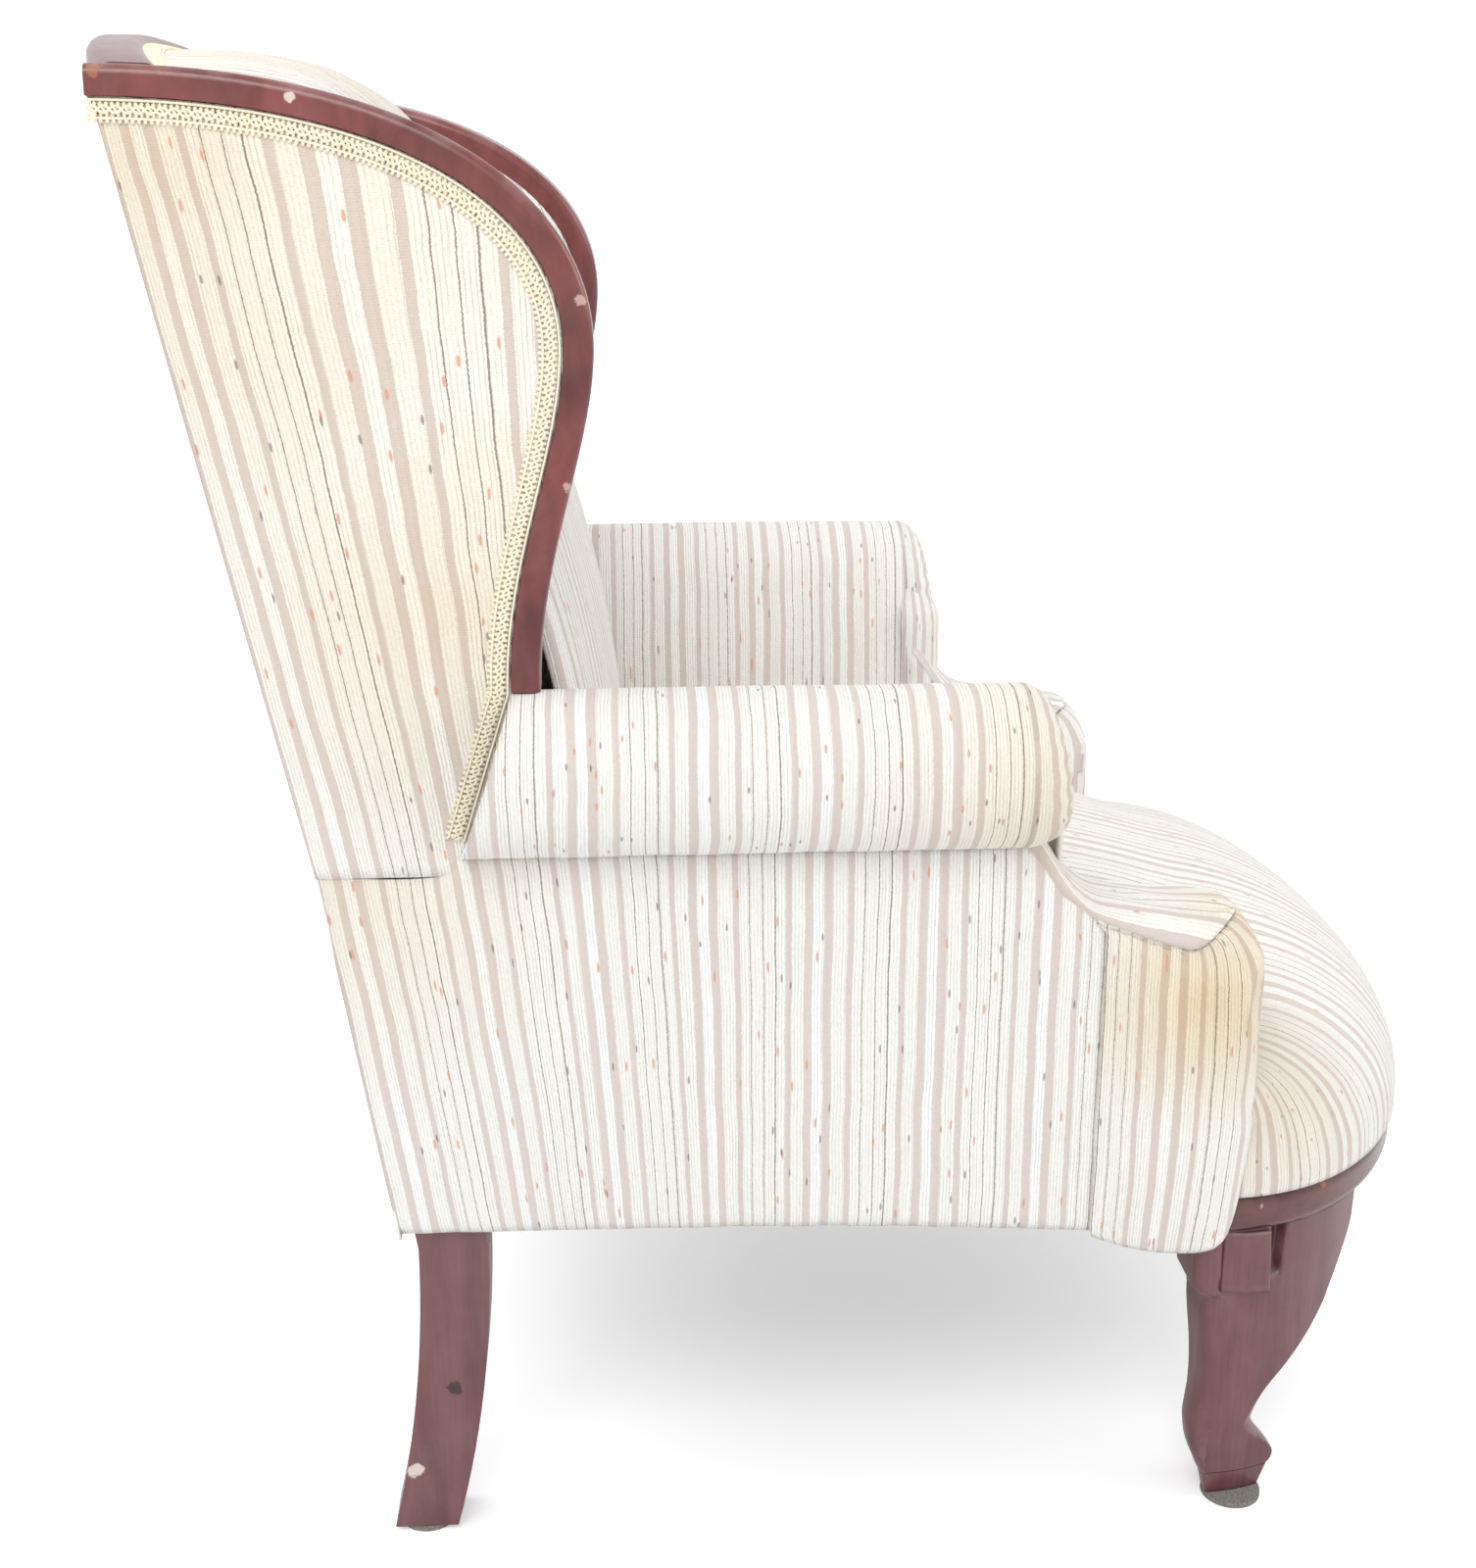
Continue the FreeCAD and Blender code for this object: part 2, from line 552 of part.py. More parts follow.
def cabriole_sections():
    """Height, distance out, distance forward, side and corner radius from the top of the leg to the glide."""
    ankle_side = 2 * size("ankle_radius")
    post_middle = frame_out + 1 - size("front_leg_side") / 2
    sections = [
        (bow_low, post_middle, size("knee_front") - 16, size("front_leg_side"), 6),
        ((bow_low + size("knee_height")) / 2, (post_middle + size("knee_out")) / 2, size("knee_front") - 6,
         size("knee_side"), 7),
        (size("knee_height"), size("knee_out"), size("knee_front"), size("knee_side"), 9),
    ]
    for step in (0.38, 0.6, 0.8, 1):
        blend = step * step * (3 - 2 * step)
        side = size("knee_side") + (ankle_side - size("knee_side")) * blend
        sections.append((
            size("knee_height") + (size("ankle_height") - size("knee_height")) * step,
            size("knee_out") + (size("ankle_out") - size("knee_out")) * blend,
            size("knee_front") + (size("ankle_front") - size("knee_front")) * blend,
            side, 9 + (side / 2 - 1 - 9) * blend))
    rim = size("pad_foot_radius")
    sections += [
        ((size("ankle_height") + size("pad_foot_height")) / 2, (size("ankle_out") + size("foot_out")) / 2,
         (size("ankle_front") + size("foot_front")) / 2, 2 * size("ankle_radius") + 1, size("ankle_radius") - 1),
        (size("pad_foot_height"), size("foot_out"), size("foot_front"), 2 * rim, rim - 1),
        (size("pad_foot_height") / 2, size("foot_out"), size("foot_front"), 1.8 * rim, 0.9 * rim - 1),
        (size("glide_thickness"), size("foot_out"), size("foot_front"), 1.56 * rim, 0.78 * rim - 1),
    ]
    return sections


leg_wires = [rounded_square(-out, -front, z, side, radius) for z, out, front, side, radius in cabriole_sections()]
front_leg = loft(leg_wires)
bolt_x = -(frame_out - size("front_post_width") / 2)
bolt_y = 1.5 * size("bolt_radius") - size("front_post_front")
front_bolt = Part.makeCylinder(size("bolt_radius"), size("hanger_bolt_length"),
                               Vector(bolt_x, bolt_y, bow_low - 50))
front_leg_piece = formed("front_leg", front_leg.cut(front_bolt))
pair(front_leg_piece, "front_leg")

# Knee ears: small brackets glued beside the knee, under the bowed rail
ear_high, ear_low = bow_low, bow_low - size("ear_drop")


def knee_ear(corner, along, across, length, thickness):
    """A bracket with a hollow lower edge against the leg."""
    top_start = corner
    top_end = corner + along * length
    low_start = corner - Vector(0, 0, ear_high - ear_low)
    low_end = top_end - Vector(0, 0, (ear_high - ear_low) * 0.9)
    face = face_between(
        Part.makeLine(top_start, top_end), Part.makeLine(top_end, low_end),
        Part.Arc(low_end, (low_start + low_end) / 2 + Vector(0, 0, 3), low_start).toShape(),
        Part.makeLine(low_start, top_start))
    return face.extrude(across * thickness).cut(front_leg)


side_ear = knee_ear(Vector(-frame_out - 2, -size("knee_front") - 6, ear_high), Vector(0, 1, 0), Vector(1, 0, 0),
                    size("side_ear_length"), size("side_ear_thickness"))
front_ear = knee_ear(Vector(10 - size("knee_out"), 3 - size("knee_front") - size("knee_side") / 2, ear_high),
                     Vector(0.5, -0.866, 0), Vector(0.866, 0.5, 0), size("front_ear_length"),
                     size("front_ear_thickness"))
right_ears = Part.makeCompound([max(ear.Solids, key=lambda solid: solid.Volume) for ear in (side_ear, front_ear)])
keep(formed("knee_ears", Part.makeCompound(right_ears.Solids + right_ears.mirror(Vector(), Vector(1, 0, 0)).Solids)),
     "knee_ears")

# Front posts
post_blank = box("post_blank", (f"-({frame_face})", f"-({post_inner})"),
                 ("-front_post_front", "front_post_depth - front_post_front"), ("show_rail_bottom", "front_post_top"))
bolt_tool = formed("front_bolt_tool", front_bolt)
pair(cut("front_post", post_blank, [bolt_tool]), "front_post")

# Arm frame
arm_rail_top = "arm_rail_bottom + arm_rail_height"
stump = side_body("arm_stump_blank", [
    ("-stump_back", rail_top),
    ("-stump_back", "arm_rail_bottom"),
    ("-roll_front + roll_nose", "arm_rail_bottom"),
    ("front_post_depth - front_post_front", "front_post_top", "110"),
    ("front_post_depth - front_post_front", rail_top),
], f"-({frame_face})", f"stump_thickness - ({frame_face})")
pair(stump, "arm_stump")
rail_rear = f"{upper_knee} + (arm_rail_bottom - waist_height) * upper_rake - stile_depth - fit_gap"
pair(box("arm_top_rail", (f"-({frame_face})", f"-({leg_inner})"), ("-roll_front + roll_nose", rail_rear),
         ("arm_rail_bottom", arm_rail_top)), "arm_top_rail")
stuffing_rear = "rear_leg_back + (stuffing_rail_bottom - rear_leg_joint) * lower_rake - rear_leg_depth - fit_gap"
low_arm_rail = box("low_arm_rail", (f"-({frame_face})", f"rail_thickness - ({frame_face})"),
                   ("-stump_back", stuffing_rear),
                   ("stuffing_rail_bottom", "stuffing_rail_bottom + stuffing_rail_height"))
pair(low_arm_rail, "arm_stuffing_rail")
doc.recompute()


# Corner blocks and their screws
block_leg = size("block_leg")


def corner_block(x, y, turn_x, turn_y):
    """A triangular block in a corner of the seat frame."""
    low = size("frame_bottom") + size("block_inset")
    face = polygon([(x, y, low), (x + turn_x * block_leg, y, low), (x, y + turn_y * block_leg, low)])
    return face.extrude(Vector(0, 0, size("seat_rail_height") - 3 * size("block_inset")))


rear_corner = (stile_in, size("rear_leg_back") - stile_depth + 3)
front_corner = (frame_out - size("front_post_width"), size("front_post_depth") - size("front_post_front") - 5)
blocks = []
screws = []
for sign in (-1, 1):
    for (x, y), turn_y in ((rear_corner, -1), (front_corner, 1)):
        block = corner_block(sign * x, y, -sign, turn_y)
        inwards = Vector(-sign, turn_y, 0).normalize()
        start = Vector(sign * x, y, block.BoundBox.Center.z) + inwards * (block_leg * math.sqrt(0.5))
        screw = Part.makeCylinder(size("screw_radius"), block_leg * 0.65, start, inwards * -1)
        head = Part.makeCylinder(2 * size("screw_radius"), 3, start, inwards)
        blocks.append(block.cut(screw))
        screws.append(screw.fuse(head))
keep(formed("corner_blocks", Part.makeCompound(blocks)), "corner_blocks")
leg_bolts = []
for sign in (-1, 1):
    hanger = front_bolt if sign < 0 else front_bolt.mirror(Vector(), Vector(1, 0, 0))
    leg_bolts.append(hanger)
    for rod_item in rear_bolts:
        shank = rod_item.Shape.copy()
        leg_bolts.append(shank if sign < 0 else shank.mirror(Vector(), Vector(1, 0, 0)))
keep(formed("leg_bolts_and_screws", Part.makeCompound(leg_bolts + screws)), "leg_bolts_and_screws")

# Arms: a roll with a rounded front, a padded inside and a scoop down to the front post
top_of_frame = size("frame_bottom") + size("seat_rail_height")
cover = size("cover_thickness")
gap = size("fit_gap")
arm_foot = size("seat_platform") + 2
waste_reach = 2 * size("wing_tip_back")


def side_prism(points, low_x, high_x):
    """A prism across the chair between two distances, from points in the side plane."""
    return polygon([(low_x, y, z) for y, z in points]).extrude(Vector(high_x - low_x, 0, 0))


arm_rear_top = (size("wing_foot_front") + size("wing_rail_face"), size("wing_foot_height"))
arm_rear_low = (arm_rear_top[0] + 38, size("waist_height"))
rear_slope = (arm_rear_low[0] - arm_rear_top[0]) / (arm_rear_low[1] - arm_rear_top[1])


def arm_rear(z, clearance=0):
    """Where the arm ends against the wing at a height."""
    return arm_rear_top[0] + (z - arm_rear_top[1]) * rear_slope - clearance


def arm_form(inset):
    """The outer form of an arm, drawn in by an inset, longer than needed at the back and the foot."""
    radius = size("roll_radius") - inset
    front = -size("roll_front") + inset
    shoulder = -size("roll_front") + size("roll_nose")
    nose_flat = radius * 0.55
    rear = size("wing_tip_back")
    profile_edges = [
        Part.makeLine(Vector(0, rear, 0), Vector(radius, rear, 0)),
        Part.makeLine(Vector(radius, rear, 0), Vector(radius, shoulder, 0)),
        Part.Arc(Vector(radius, shoulder, 0), Vector(radius * 0.92, front + size("roll_nose") * 0.3, 0),
                 Vector(nose_flat, front, 0)).toShape(),
        Part.makeLine(Vector(nose_flat, front, 0), Vector(0, front, 0)),
        Part.makeLine(Vector(0, front, 0), Vector(0, rear, 0)),
    ]
    roll = face_between(*profile_edges).revolve(Vector(), Vector(0, 1, 0), 360)
    roll.translate(Vector(-size("roll_out"), 0, size("roll_height")))
    inner = -size("inner_half_width") - 1 - inset
    outer = -frame_out + size("stump_thickness") + gap
    scoop_start = Vector(0, shoulder - 14 + inset, size("roll_height") - size("roll_radius") * 0.9)
    scoop_end = Vector(0, -size("post_cover_back") + inset + gap, size("scoop_height") - inset)
    scoop_bend = (scoop_start + scoop_end) / 2 + Vector(0, 13, -9)
    low = arm_foot - inset * 4
    waist = size("roll_height")

    def scooped(back, high, foot, low_x, high_x):
        edges = [
            Part.makeLine(Vector(low_x, back, foot), Vector(low_x, back, high)),
            Part.makeLine(Vector(low_x, back, high), Vector(low_x, scoop_start.y, high)),
            Part.makeLine(Vector(low_x, scoop_start.y, high), scoop_start + Vector(low_x, 0, 0)),
            Part.Arc(scoop_start + Vector(low_x, 0, 0), scoop_bend + Vector(low_x, 0, 0),
                     scoop_end + Vector(low_x, 0, 0)).toShape(),
            Part.makeLine(scoop_end + Vector(low_x, 0, 0), Vector(low_x, scoop_end.y, foot)),
            Part.makeLine(Vector(low_x, scoop_end.y, foot), Vector(low_x, back, foot)),
        ]
        return face_between(*edges).extrude(Vector(high_x - low_x, 0, 0))

    inside = scooped(rear, waist, low, outer, inner)
    scoop = scooped(-size("stump_back") + 20, size("roll_height") - size("roll_radius") * 0.8,
                    size("front_post_top") + 4, -frame_out, inner)
    return roll.fuse([inside, scoop])


arm_behind = side_prism([
    (arm_rear(arm_foot - 20, gap), arm_foot - 20), (arm_rear(size("wing_tip_height"), gap), size("wing_tip_height")),
    (waste_reach, size("wing_tip_height")), (waste_reach, arm_foot - 20)], -2 * size("side_plane"), 0)
arm_in_stile = side_prism([
    (rear_line(z) - size("rear_leg_depth") - gap, z) for z in (arm_foot - 20, size("waist_height"), size("stile_top"))
] + [(waste_reach, size("stile_top")), (waste_reach, arm_foot - 20)], -2 * size("side_plane"), 0)
arm_below = side_prism([(-waste_reach, 0), (waste_reach, 0), (waste_reach, arm_foot), (-waste_reach, arm_foot)],
                       -2 * size("side_plane"), 0)
arm_outer = arm_form(0).cut([arm_behind, arm_in_stile, arm_below])
arm_rail_high = size("arm_rail_height")
rail_tenon = Part.makeBox(
    tenon_side + 2 * gap, tenon_side + 2 * gap, 2 * arm_rail_high,
    Vector(size("wing_rail_depth") / 2 - tenon_side / 2 - gap, size("wing_foot_front") + 2 - gap,
           tenon_foot - arm_rail_high / 2))
rail_tenon.Placement = FreeCAD.Placement(Vector(-size("side_plane"), 0, size("waist_height")), wing_turn)
arm_wood = [item.Shape for item in pieces if item.Label in
            ("arm_stump_right", "arm_top_rail_right", "arm_stuffing_rail_right", "side_seat_rail_right",
             "front_post_right")]
arm_cover = arm_outer.cut([arm_form(cover), rail_tenon, stump.Shape])
arm_padding = arm_form(cover + gap).cut([arm_behind, arm_in_stile, arm_below, rail_tenon] + arm_wood)
arm_padding = max(arm_padding.Solids, key=lambda solid: solid.Volume)


# Covered front posts
def post_form(inset):
    """The padded front post's outer form with its arched top."""
    middle = -(size("side_plane") + size("inner_half_width")) / 2
    half_width = (size("side_plane") - size("inner_half_width")) / 2 - inset
    rear = -size("post_cover_back")
    front = -size("post_cover_front") + inset
    wire = arch_wire(front, half_width, size("post_cover_bottom") - 2 * inset, size("post_edge_height") - inset,
                     size("post_crown_height") - inset, middle)
    return Part.Face(wire).extrude(Vector(0, rear - front, 0))


bow_notch = Part.makeBox(
    2 * (size("bow_half_width") + gap), 2 * size("bow_reach"), bow_high + gap,
    Vector(-size("bow_half_width") - gap, -size("front_post_front") - 2 * size("bow_reach"), 0))
liner_notch = Part.makeBox(
    2 * (size("bow_half_width") - size("bow_liner_inset") + gap), 2 * size("bow_reach"),
    bow_high + size("bow_liner_height") + gap,
    Vector(-size("bow_half_width") + size("bow_liner_inset") - gap, -size("front_post_front") - 2 * size("bow_reach"),
           0))
frame_notch = Part.makeBox(
    2 * (frame_out - size("front_post_width")), 3 * size("front_post_depth"), top_of_frame + gap,
    Vector(size("front_post_width") - frame_out, -size("front_post_front") - size("front_post_depth"), 0))
leg_room = Part.makeBox(size("knee_side") + 10, 3 * size("knee_side"), bow_low + gap,
                        Vector(-frame_out - 2.5, -size("front_post_front") - size("knee_side"), 0))
post_outer = post_form(0)
post_outer = rounded(post_outer, [edge for edge in post_outer.Edges if edge.BoundBox.YLength < 1
                                  and edge.BoundBox.YMin < 1 - size("post_cover_front")
                                  and edge.BoundBox.ZMax > size("post_cover_bottom") + 1], 8)
post_openings = [bow_notch, liner_notch, frame_notch, leg_room]
post_cover = post_outer.cut([post_form(cover)] + post_openings)
post_padding = post_form(cover + gap).cut(arm_wood + post_openings + [front_bolt, side_prism(
    [(-waste_reach, 0), (waste_reach, 0), (waste_reach, size("post_cover_bottom") + 6),
     (-waste_reach, size("post_cover_bottom") + 6)], -2 * size("side_plane"), 0)])
pair(formed("arm_padding", Part.makeCompound([arm_padding, post_padding])), "arm_padding")
pair(formed("arm_cover", arm_cover), "arm_cover")
pair(formed("post_facing", post_cover), "post_facing")

# Outside arms: cover over wadding
back_skin = size("back_wadding")


def side_panel(depth, thickness, rise):
    """The outside arm panel at a depth behind the side plane, its lower edge lifted by a rise."""
    roof = size("roll_height") - size("roll_radius") - gap
    waist = size("waist_height")
    foot = size("frame_bottom") + 4 + rise
    front = -size("post_cover_back") + gap
    points = [
        (rear_line(foot) + back_skin, foot), (rear_line(waist) + back_skin, waist - gap),
        (arm_rear(roof), waist - gap), (arm_rear(roof), roof), (-size("roll_front") + size("roll_nose") - 10, roof),
        (front + 30, (roof + size("scoop_height")) / 2 - 14), (front, size("scoop_height") - 8),
        (front, size("post_cover_bottom") + 8 + rise), (front + 60, size("frame_bottom") - 6 + rise),
    ]
    return side_prism(points, -size("side_plane") + depth, -size("side_plane") + depth + thickness)


def wing_panel(inset, depth, thickness, rear_offset, foot=None):
    """A panel of the wing between the rail, the arm and the back, in the wing's own plane."""
    waist = size("waist_height")
    curves = wing_curves(inset, depth)
    tip, end = curves[0].Vertexes[0].Point, curves[1].Vertexes[1].Point
    low = 0 if foot is None else foot - waist
    low_front = arm_rear(waist + low) + gap if foot is None else end.y
    corners = [end, Vector(depth, low_front, low), Vector(depth, waste_reach, low), Vector(depth, waste_reach, tip.z), tip]
    edges = curves + [Part.makeLine(a, b) for a, b in zip(corners, corners[1:])]
    panel = face_between(*edges).extrude(Vector(thickness, 0, 0))
    behind = side_prism([
        (rear_line(waist) + rear_offset - 40 * size("upper_rake"), -40),
        (rear_line(waist) + rear_offset + 600 * size("upper_rake"), 600), (2 * waste_reach, 600),
        (2 * waste_reach, -40)], -waste_reach, waste_reach)
    return panel.cut(behind)


face_width = size("wing_rail_face") + gap
pair(formed("outside_arm_cover", side_panel(0, cover, 0)), "outside_arm_cover")
pair(wing_placed(formed("outside_wing_cover", wing_panel(face_width, 0, cover, back_skin))), "outside_wing_cover")
wing_wadding = wing_placed(formed("wing_wadding_part", wing_panel(face_width, cover, size("side_wadding"), back_skin)))
side_wadding = formed("side_wadding_part", side_panel(cover, size("side_wadding"), 3))
wing_layer = wing_wadding.Shape.cut([side_wadding.Shape] + arm_wood)
pair(formed("side_wadding", Part.makeCompound([side_wadding.Shape, wing_layer])), "side_wadding")

# Inside wings: padding with its cover
inside_face = -size("inner_half_width")
wing_depth = cover + size("side_wadding")
inside_foot = size("wing_foot_height") + gap
web_face = -stile_depth - size("webbing_thickness") - 5 * gap
pad_blank = wing_placed(formed("wing_pad_blank", wing_panel(face_width, wing_depth, 120, web_face,
                                                           inside_foot))).Shape
inboard = Part.makeBox(2 * size("side_plane"), 3000, 3000, Vector(inside_face - cover - gap, -1500, -500))
cover_zone = Part.makeBox(cover, 3000, 3000, Vector(inside_face - cover, -1500, -500))
pair(formed("wing_padding", pad_blank.cut(inboard)), "wing_padding")
pair(formed("inside_wing_cover", pad_blank.common(cover_zone)), "inside_wing_cover")

# Braid along the wing rail and down the join of arm and wing
braid = wing_band(face_width, face_width + size("gimp_width"), -size("gimp_thickness"), size("gimp_thickness"))
braid_end = size("roll_height") - size("roll_radius") * 0.75
braid_rows = [(arm_rear(z) + gap + side, z - size("waist_height")) for z, side in (
    (size("wing_foot_height"), 0), (size("wing_foot_height"), size("gimp_width")),
    (braid_end, size("gimp_width")), (braid_end, 0))]
braid_tail = polygon([(-size("gimp_thickness"), y, z) for y, z in braid_rows]).extrude(
    Vector(size("gimp_thickness"), 0, 0))
pair(wing_placed(formed("wing_gimp", braid.fuse(braid_tail).removeSplitter())), "wing_gimp")

# Seat: one crowned form with a bowed front that is narrower between the arms
def seat_form(inset):
    """The seat's outer form drawn in by an inset, longer than needed below."""
    post_line = -size("post_cover_front") - gap
    half_width = size("inner_half_width") - gap
    wide = size("bow_half_width") + size("seat_overhang")
    spread = (wide / half_width) ** 2
    rear = size("rear_leg_back") - stile_depth - 1
    rows = [
        (rear, size("seat_back_height"), 4),
        (rear * 0.6, size("seat_back_height"), 4),
        (0, size("seat_crown") + 1, 18),
        (post_line / 2, size("seat_crown"), size("seat_crown") - size("seat_edge")),
    ]
    sections = [(y, wide, crown - fall * spread, crown) for y, crown, fall in rows]
    front_most = -size("bow_start") - size("bow_reach") - size("seat_overhang")
    for step in (0, 0.22, 0.46, 0.68, 0.85, 0.96, 1):
        y = post_line + (front_most - post_line) * step
        reach = (-y - size("bow_start")) / (size("bow_reach") + size("seat_overhang"))
        fall = step ** 1.35
        sections.append((
            y + inset * step, wide * math.sqrt(max(1 - reach ** 2, 0.012)),
            size("seat_front_edge") + (size("seat_nose") - 8 - size("seat_front_edge")) * fall,
            size("seat_front_crown") + (size("seat_nose") - size("seat_front_crown")) * fall))
    form = loft([arch_wire(y, width - inset, bow_high - inset, edge - inset, crown - inset)
                 for y, width, edge, crown in sections])
    sides = [Part.makeBox(wide, 2 * waste_reach, 2 * size("seat_crown"), Vector(x, post_line - inset, -1))
             for x in (half_width - inset, inset - half_width - wide)]
    return form.cut(sides)


below_dome = Part.makeBox(4 * size("side_plane"), 3 * waste_reach, bow_high + gap,
                          Vector(-2 * size("side_plane"), -2 * waste_reach, 0))
below_block = Part.makeBox(4 * size("side_plane"), 2 * waste_reach, size("seat_platform"),
                           Vector(-2 * size("side_plane"), -size("front_post_front") - 14, 0))
seat_cover = seat_form(0).cut([seat_form(cover), below_dome, below_block])
keep(formed("seat_cover", seat_cover), "seat_cover")
seat_padding = seat_form(cover + gap).cut([below_dome, below_block, bow_liner])
keep(formed("seat_padding", seat_padding), "seat_padding")

# Webbing under the seat padding
strap, thin = size("webbing_width"), size("webbing_thickness")
cross_rows = [-size("stump_back") + 12 + row * size("strap_spacing") for row in range(5)]
cross_straps = [Part.makeBox(2 * frame_out, strap, thin, Vector(-frame_out, y, top_of_frame)) for y in cross_rows]
front_edge_y = size("front_post_depth") - size("front_post_front") - size("rail_thickness") - 5
rear_edge_y = size("rear_leg_back") - 8
long_columns = [size("inner_half_width") * share for share in (-0.6, -0.2, 0.2, 0.6)]
long_straps = [Part.makeBox(strap, rear_edge_y - front_edge_y, 0.5 * thin, Vector(x - strap / 2, front_edge_y,
                            top_of_frame + thin)) for x in long_columns]
keep(formed("seat_webbing", Part.makeCompound(cross_straps + long_straps)), "seat_webbing")
dust_half = frame_out - 4
corner_woods = [item.Shape for item in pieces if item.Label.startswith(("front_post", "rear_leg", "back_stile"))]
corner_woods += [post_outer, post_outer.mirror(Vector(), Vector(1, 0, 0))]
keep(formed("dust_cover", Part.makeBox(
    2 * dust_half, rear_edge_y - front_edge_y, 1, Vector(-dust_half, front_edge_y, size("frame_bottom") - 1)
).cut(corner_woods)), "dust_cover")

# Back webbing across the front faces of the stiles, between the two back rails
rake_turn = math.degrees(math.atan(size("upper_rake")))
back_straps = []
for row in range(5):
    z = size("seat_back_height") + 70 + row * size("back_strap_spacing")
    strap_box = Part.makeBox(2 * (stile_in + size("stile_width")), thin, strap,
                             Vector(-stile_in - size("stile_width"), -thin, 0))
    strap_box.Placement = FreeCAD.Placement(Vector(0, rear_line(z) - stile_depth - gap / 3, z),
                                            FreeCAD.Rotation(Vector(1, 0, 0), -rake_turn))
    back_straps.append(strap_box)
keep(formed("back_webbing", Part.makeCompound(back_straps)), "back_webbing")


# Inside back: a tall cushion that rolls over in front of the crest
def back_stations():
    """Five distances across the chair, with how far each lies towards the side, squared."""
    half_width = size("inner_half_width") - gap
    return [(half_width * step, step * step) for step in (-1, -0.55, 0, 0.55, 1)]


def back_front_points(x, share, inset):
    """Seven points up the front of the inside back at a distance across the chair."""
    drop = size("back_bulge") * share
    foot = size("seat_back_height") + gap
    lean_front = size("wing_throat_front")
    crest_share = (x / crest_half) ** 2
    crest_front = crest_rear - size("crest_depth") + size("crest_bow") * (1 - crest_share)
    crest_line = size("crest_top") - size("crest_arch") * crest_share - 10
    tip = size("wing_tip_height")
    shoulder_y = lean_front + 139
    points = [
        (Vector(x, lean_front - 20 + drop, foot), Vector(0, 1, 0)),
        (Vector(x, lean_front - 5 + drop, foot + (tip - foot) * 0.26), Vector(0, 1, 0)),
        (Vector(x, lean_front + 21 + drop, foot + (tip - foot) * 0.45), Vector(0, 0.98, -0.2)),
        (Vector(x, lean_front + 71 + drop, foot + (tip - foot) * 0.7), Vector(0, 0.94, -0.34)),
        (Vector(x, shoulder_y + drop * 0.6, tip - 17 - 6 * share), Vector(0, 0.75, -0.66)),
        (Vector(x, shoulder_y + 62 + drop * 0.2, tip + 9 - 14 * share), Vector(0, 0.3, -0.95)),
        (Vector(x, crest_front - gap, crest_line), Vector(0, 0, -1)),
    ]
    return [point + normal * inset for point, normal in points]


def front_arcs(points):
    """Three arcs through seven points."""
    return [Part.Arc(*points[first:first + 3]).toShape() for first in (0, 2, 4)]


cover_wires = []
padding_wires = []
for x, share in back_stations():
    outside = back_front_points(x, share, 0)
    inside = back_front_points(x, share, cover)
    cover_wires.append(Part.Wire(
        front_arcs(outside) + [Part.makeLine(outside[-1], inside[-1])]
        + list(reversed(front_arcs(inside))) + [Part.makeLine(inside[0], outside[0])]))
    core = back_front_points(x, share, cover + gap)
    web = -stile_depth - thin - 2 * gap
    top_z, waist_z = size("stile_top") + 1, size("waist_height")
    corners = [
        core[-1], core[-1] - Vector(0, 0, 16), Vector(x, rear_line(top_z) + web, top_z),
        Vector(x, rear_line(waist_z) + web, waist_z), Vector(x, rear_line(core[0].z) + web, core[0].z), core[0],
    ]
    padding_wires.append(Part.Wire(front_arcs(core) + [Part.makeLine(a, b) for a, b in zip(corners, corners[1:])]))
back_cover = loft(cover_wires).cut(crest)
keep(formed("inside_back_cover", back_cover), "inside_back_cover")
stiles = [item.Shape for item in pieces if item.Label.startswith("back_stile")]
keep(formed("back_padding", loft(padding_wires).cut([crest] + stiles)), "back_padding")

# Braid in front of the crest
crest_braid = crest_sweep(size("crest_depth") + gap, size("gimp_width"), crest_low + size("crest_height") - 6,
                          size("gimp_thickness"))
crest_braid = between_wings(crest_braid, inner_half(crest_low - 100, rail_inner + 16),
                            inner_half(size("crest_top") + 20, rail_inner + 16)).cut(back_cover)
keep(formed("crest_gimp", crest_braid), "crest_gimp")


# Outside back: a cover over wadding, flat at the seat and bowed at the crest
def back_wire(z, half_width, bow, near, thickness):
    """A bowed strip seen from above."""
    front, back = rear_line(z) + near, rear_line(z) + near + thickness
    return Part.Wire([
        Part.Arc(Vector(-half_width, front, z), Vector(0, front + bow, z), Vector(half_width, front, z)).toShape(),
        Part.makeLine(Vector(half_width, front, z), Vector(half_width, back, z)),
        Part.Arc(Vector(half_width, back, z), Vector(0, back + bow, z), Vector(-half_width, back, z)).toShape(),
        Part.makeLine(Vector(-half_width, back, z), Vector(-half_width, front, z)),
    ])


def back_layer(near, thickness, edge_inset, foot, head):
    """A layer of the outside back from a foot to a head height, narrower at the top as the wings lean in."""
    waist = size("waist_height")
    top_half = size("side_plane") - (head - waist) * size("wing_lean")
    half_widths = [size("side_plane") - edge_inset, size("side_plane") - edge_inset, top_half - edge_inset]
    bows = [2, 10, size("crest_bow") * 0.82]
    heights = [foot, waist, head]
    wires = [back_wire(z, half, bow, near, thickness) for z, half, bow in zip(heights, half_widths, bows)]
    return loft(wires[:2], True).fuse(loft(wires[1:], True))


head = crest_low + size("crest_arch") + 4
above_crest = crest_sweep(-60, 160, crest_low - gap, 100, 90)
keep(formed("back_wadding", back_layer(0.1, back_skin - 0.2, layers + gap, size("frame_bottom") + 4,
                                       head).cut(above_crest)), "back_wadding")
keep(formed("outside_back_cover", back_layer(back_skin, cover, 0, size("frame_bottom") + 1, head).cut(above_crest)),
     "outside_back_cover")


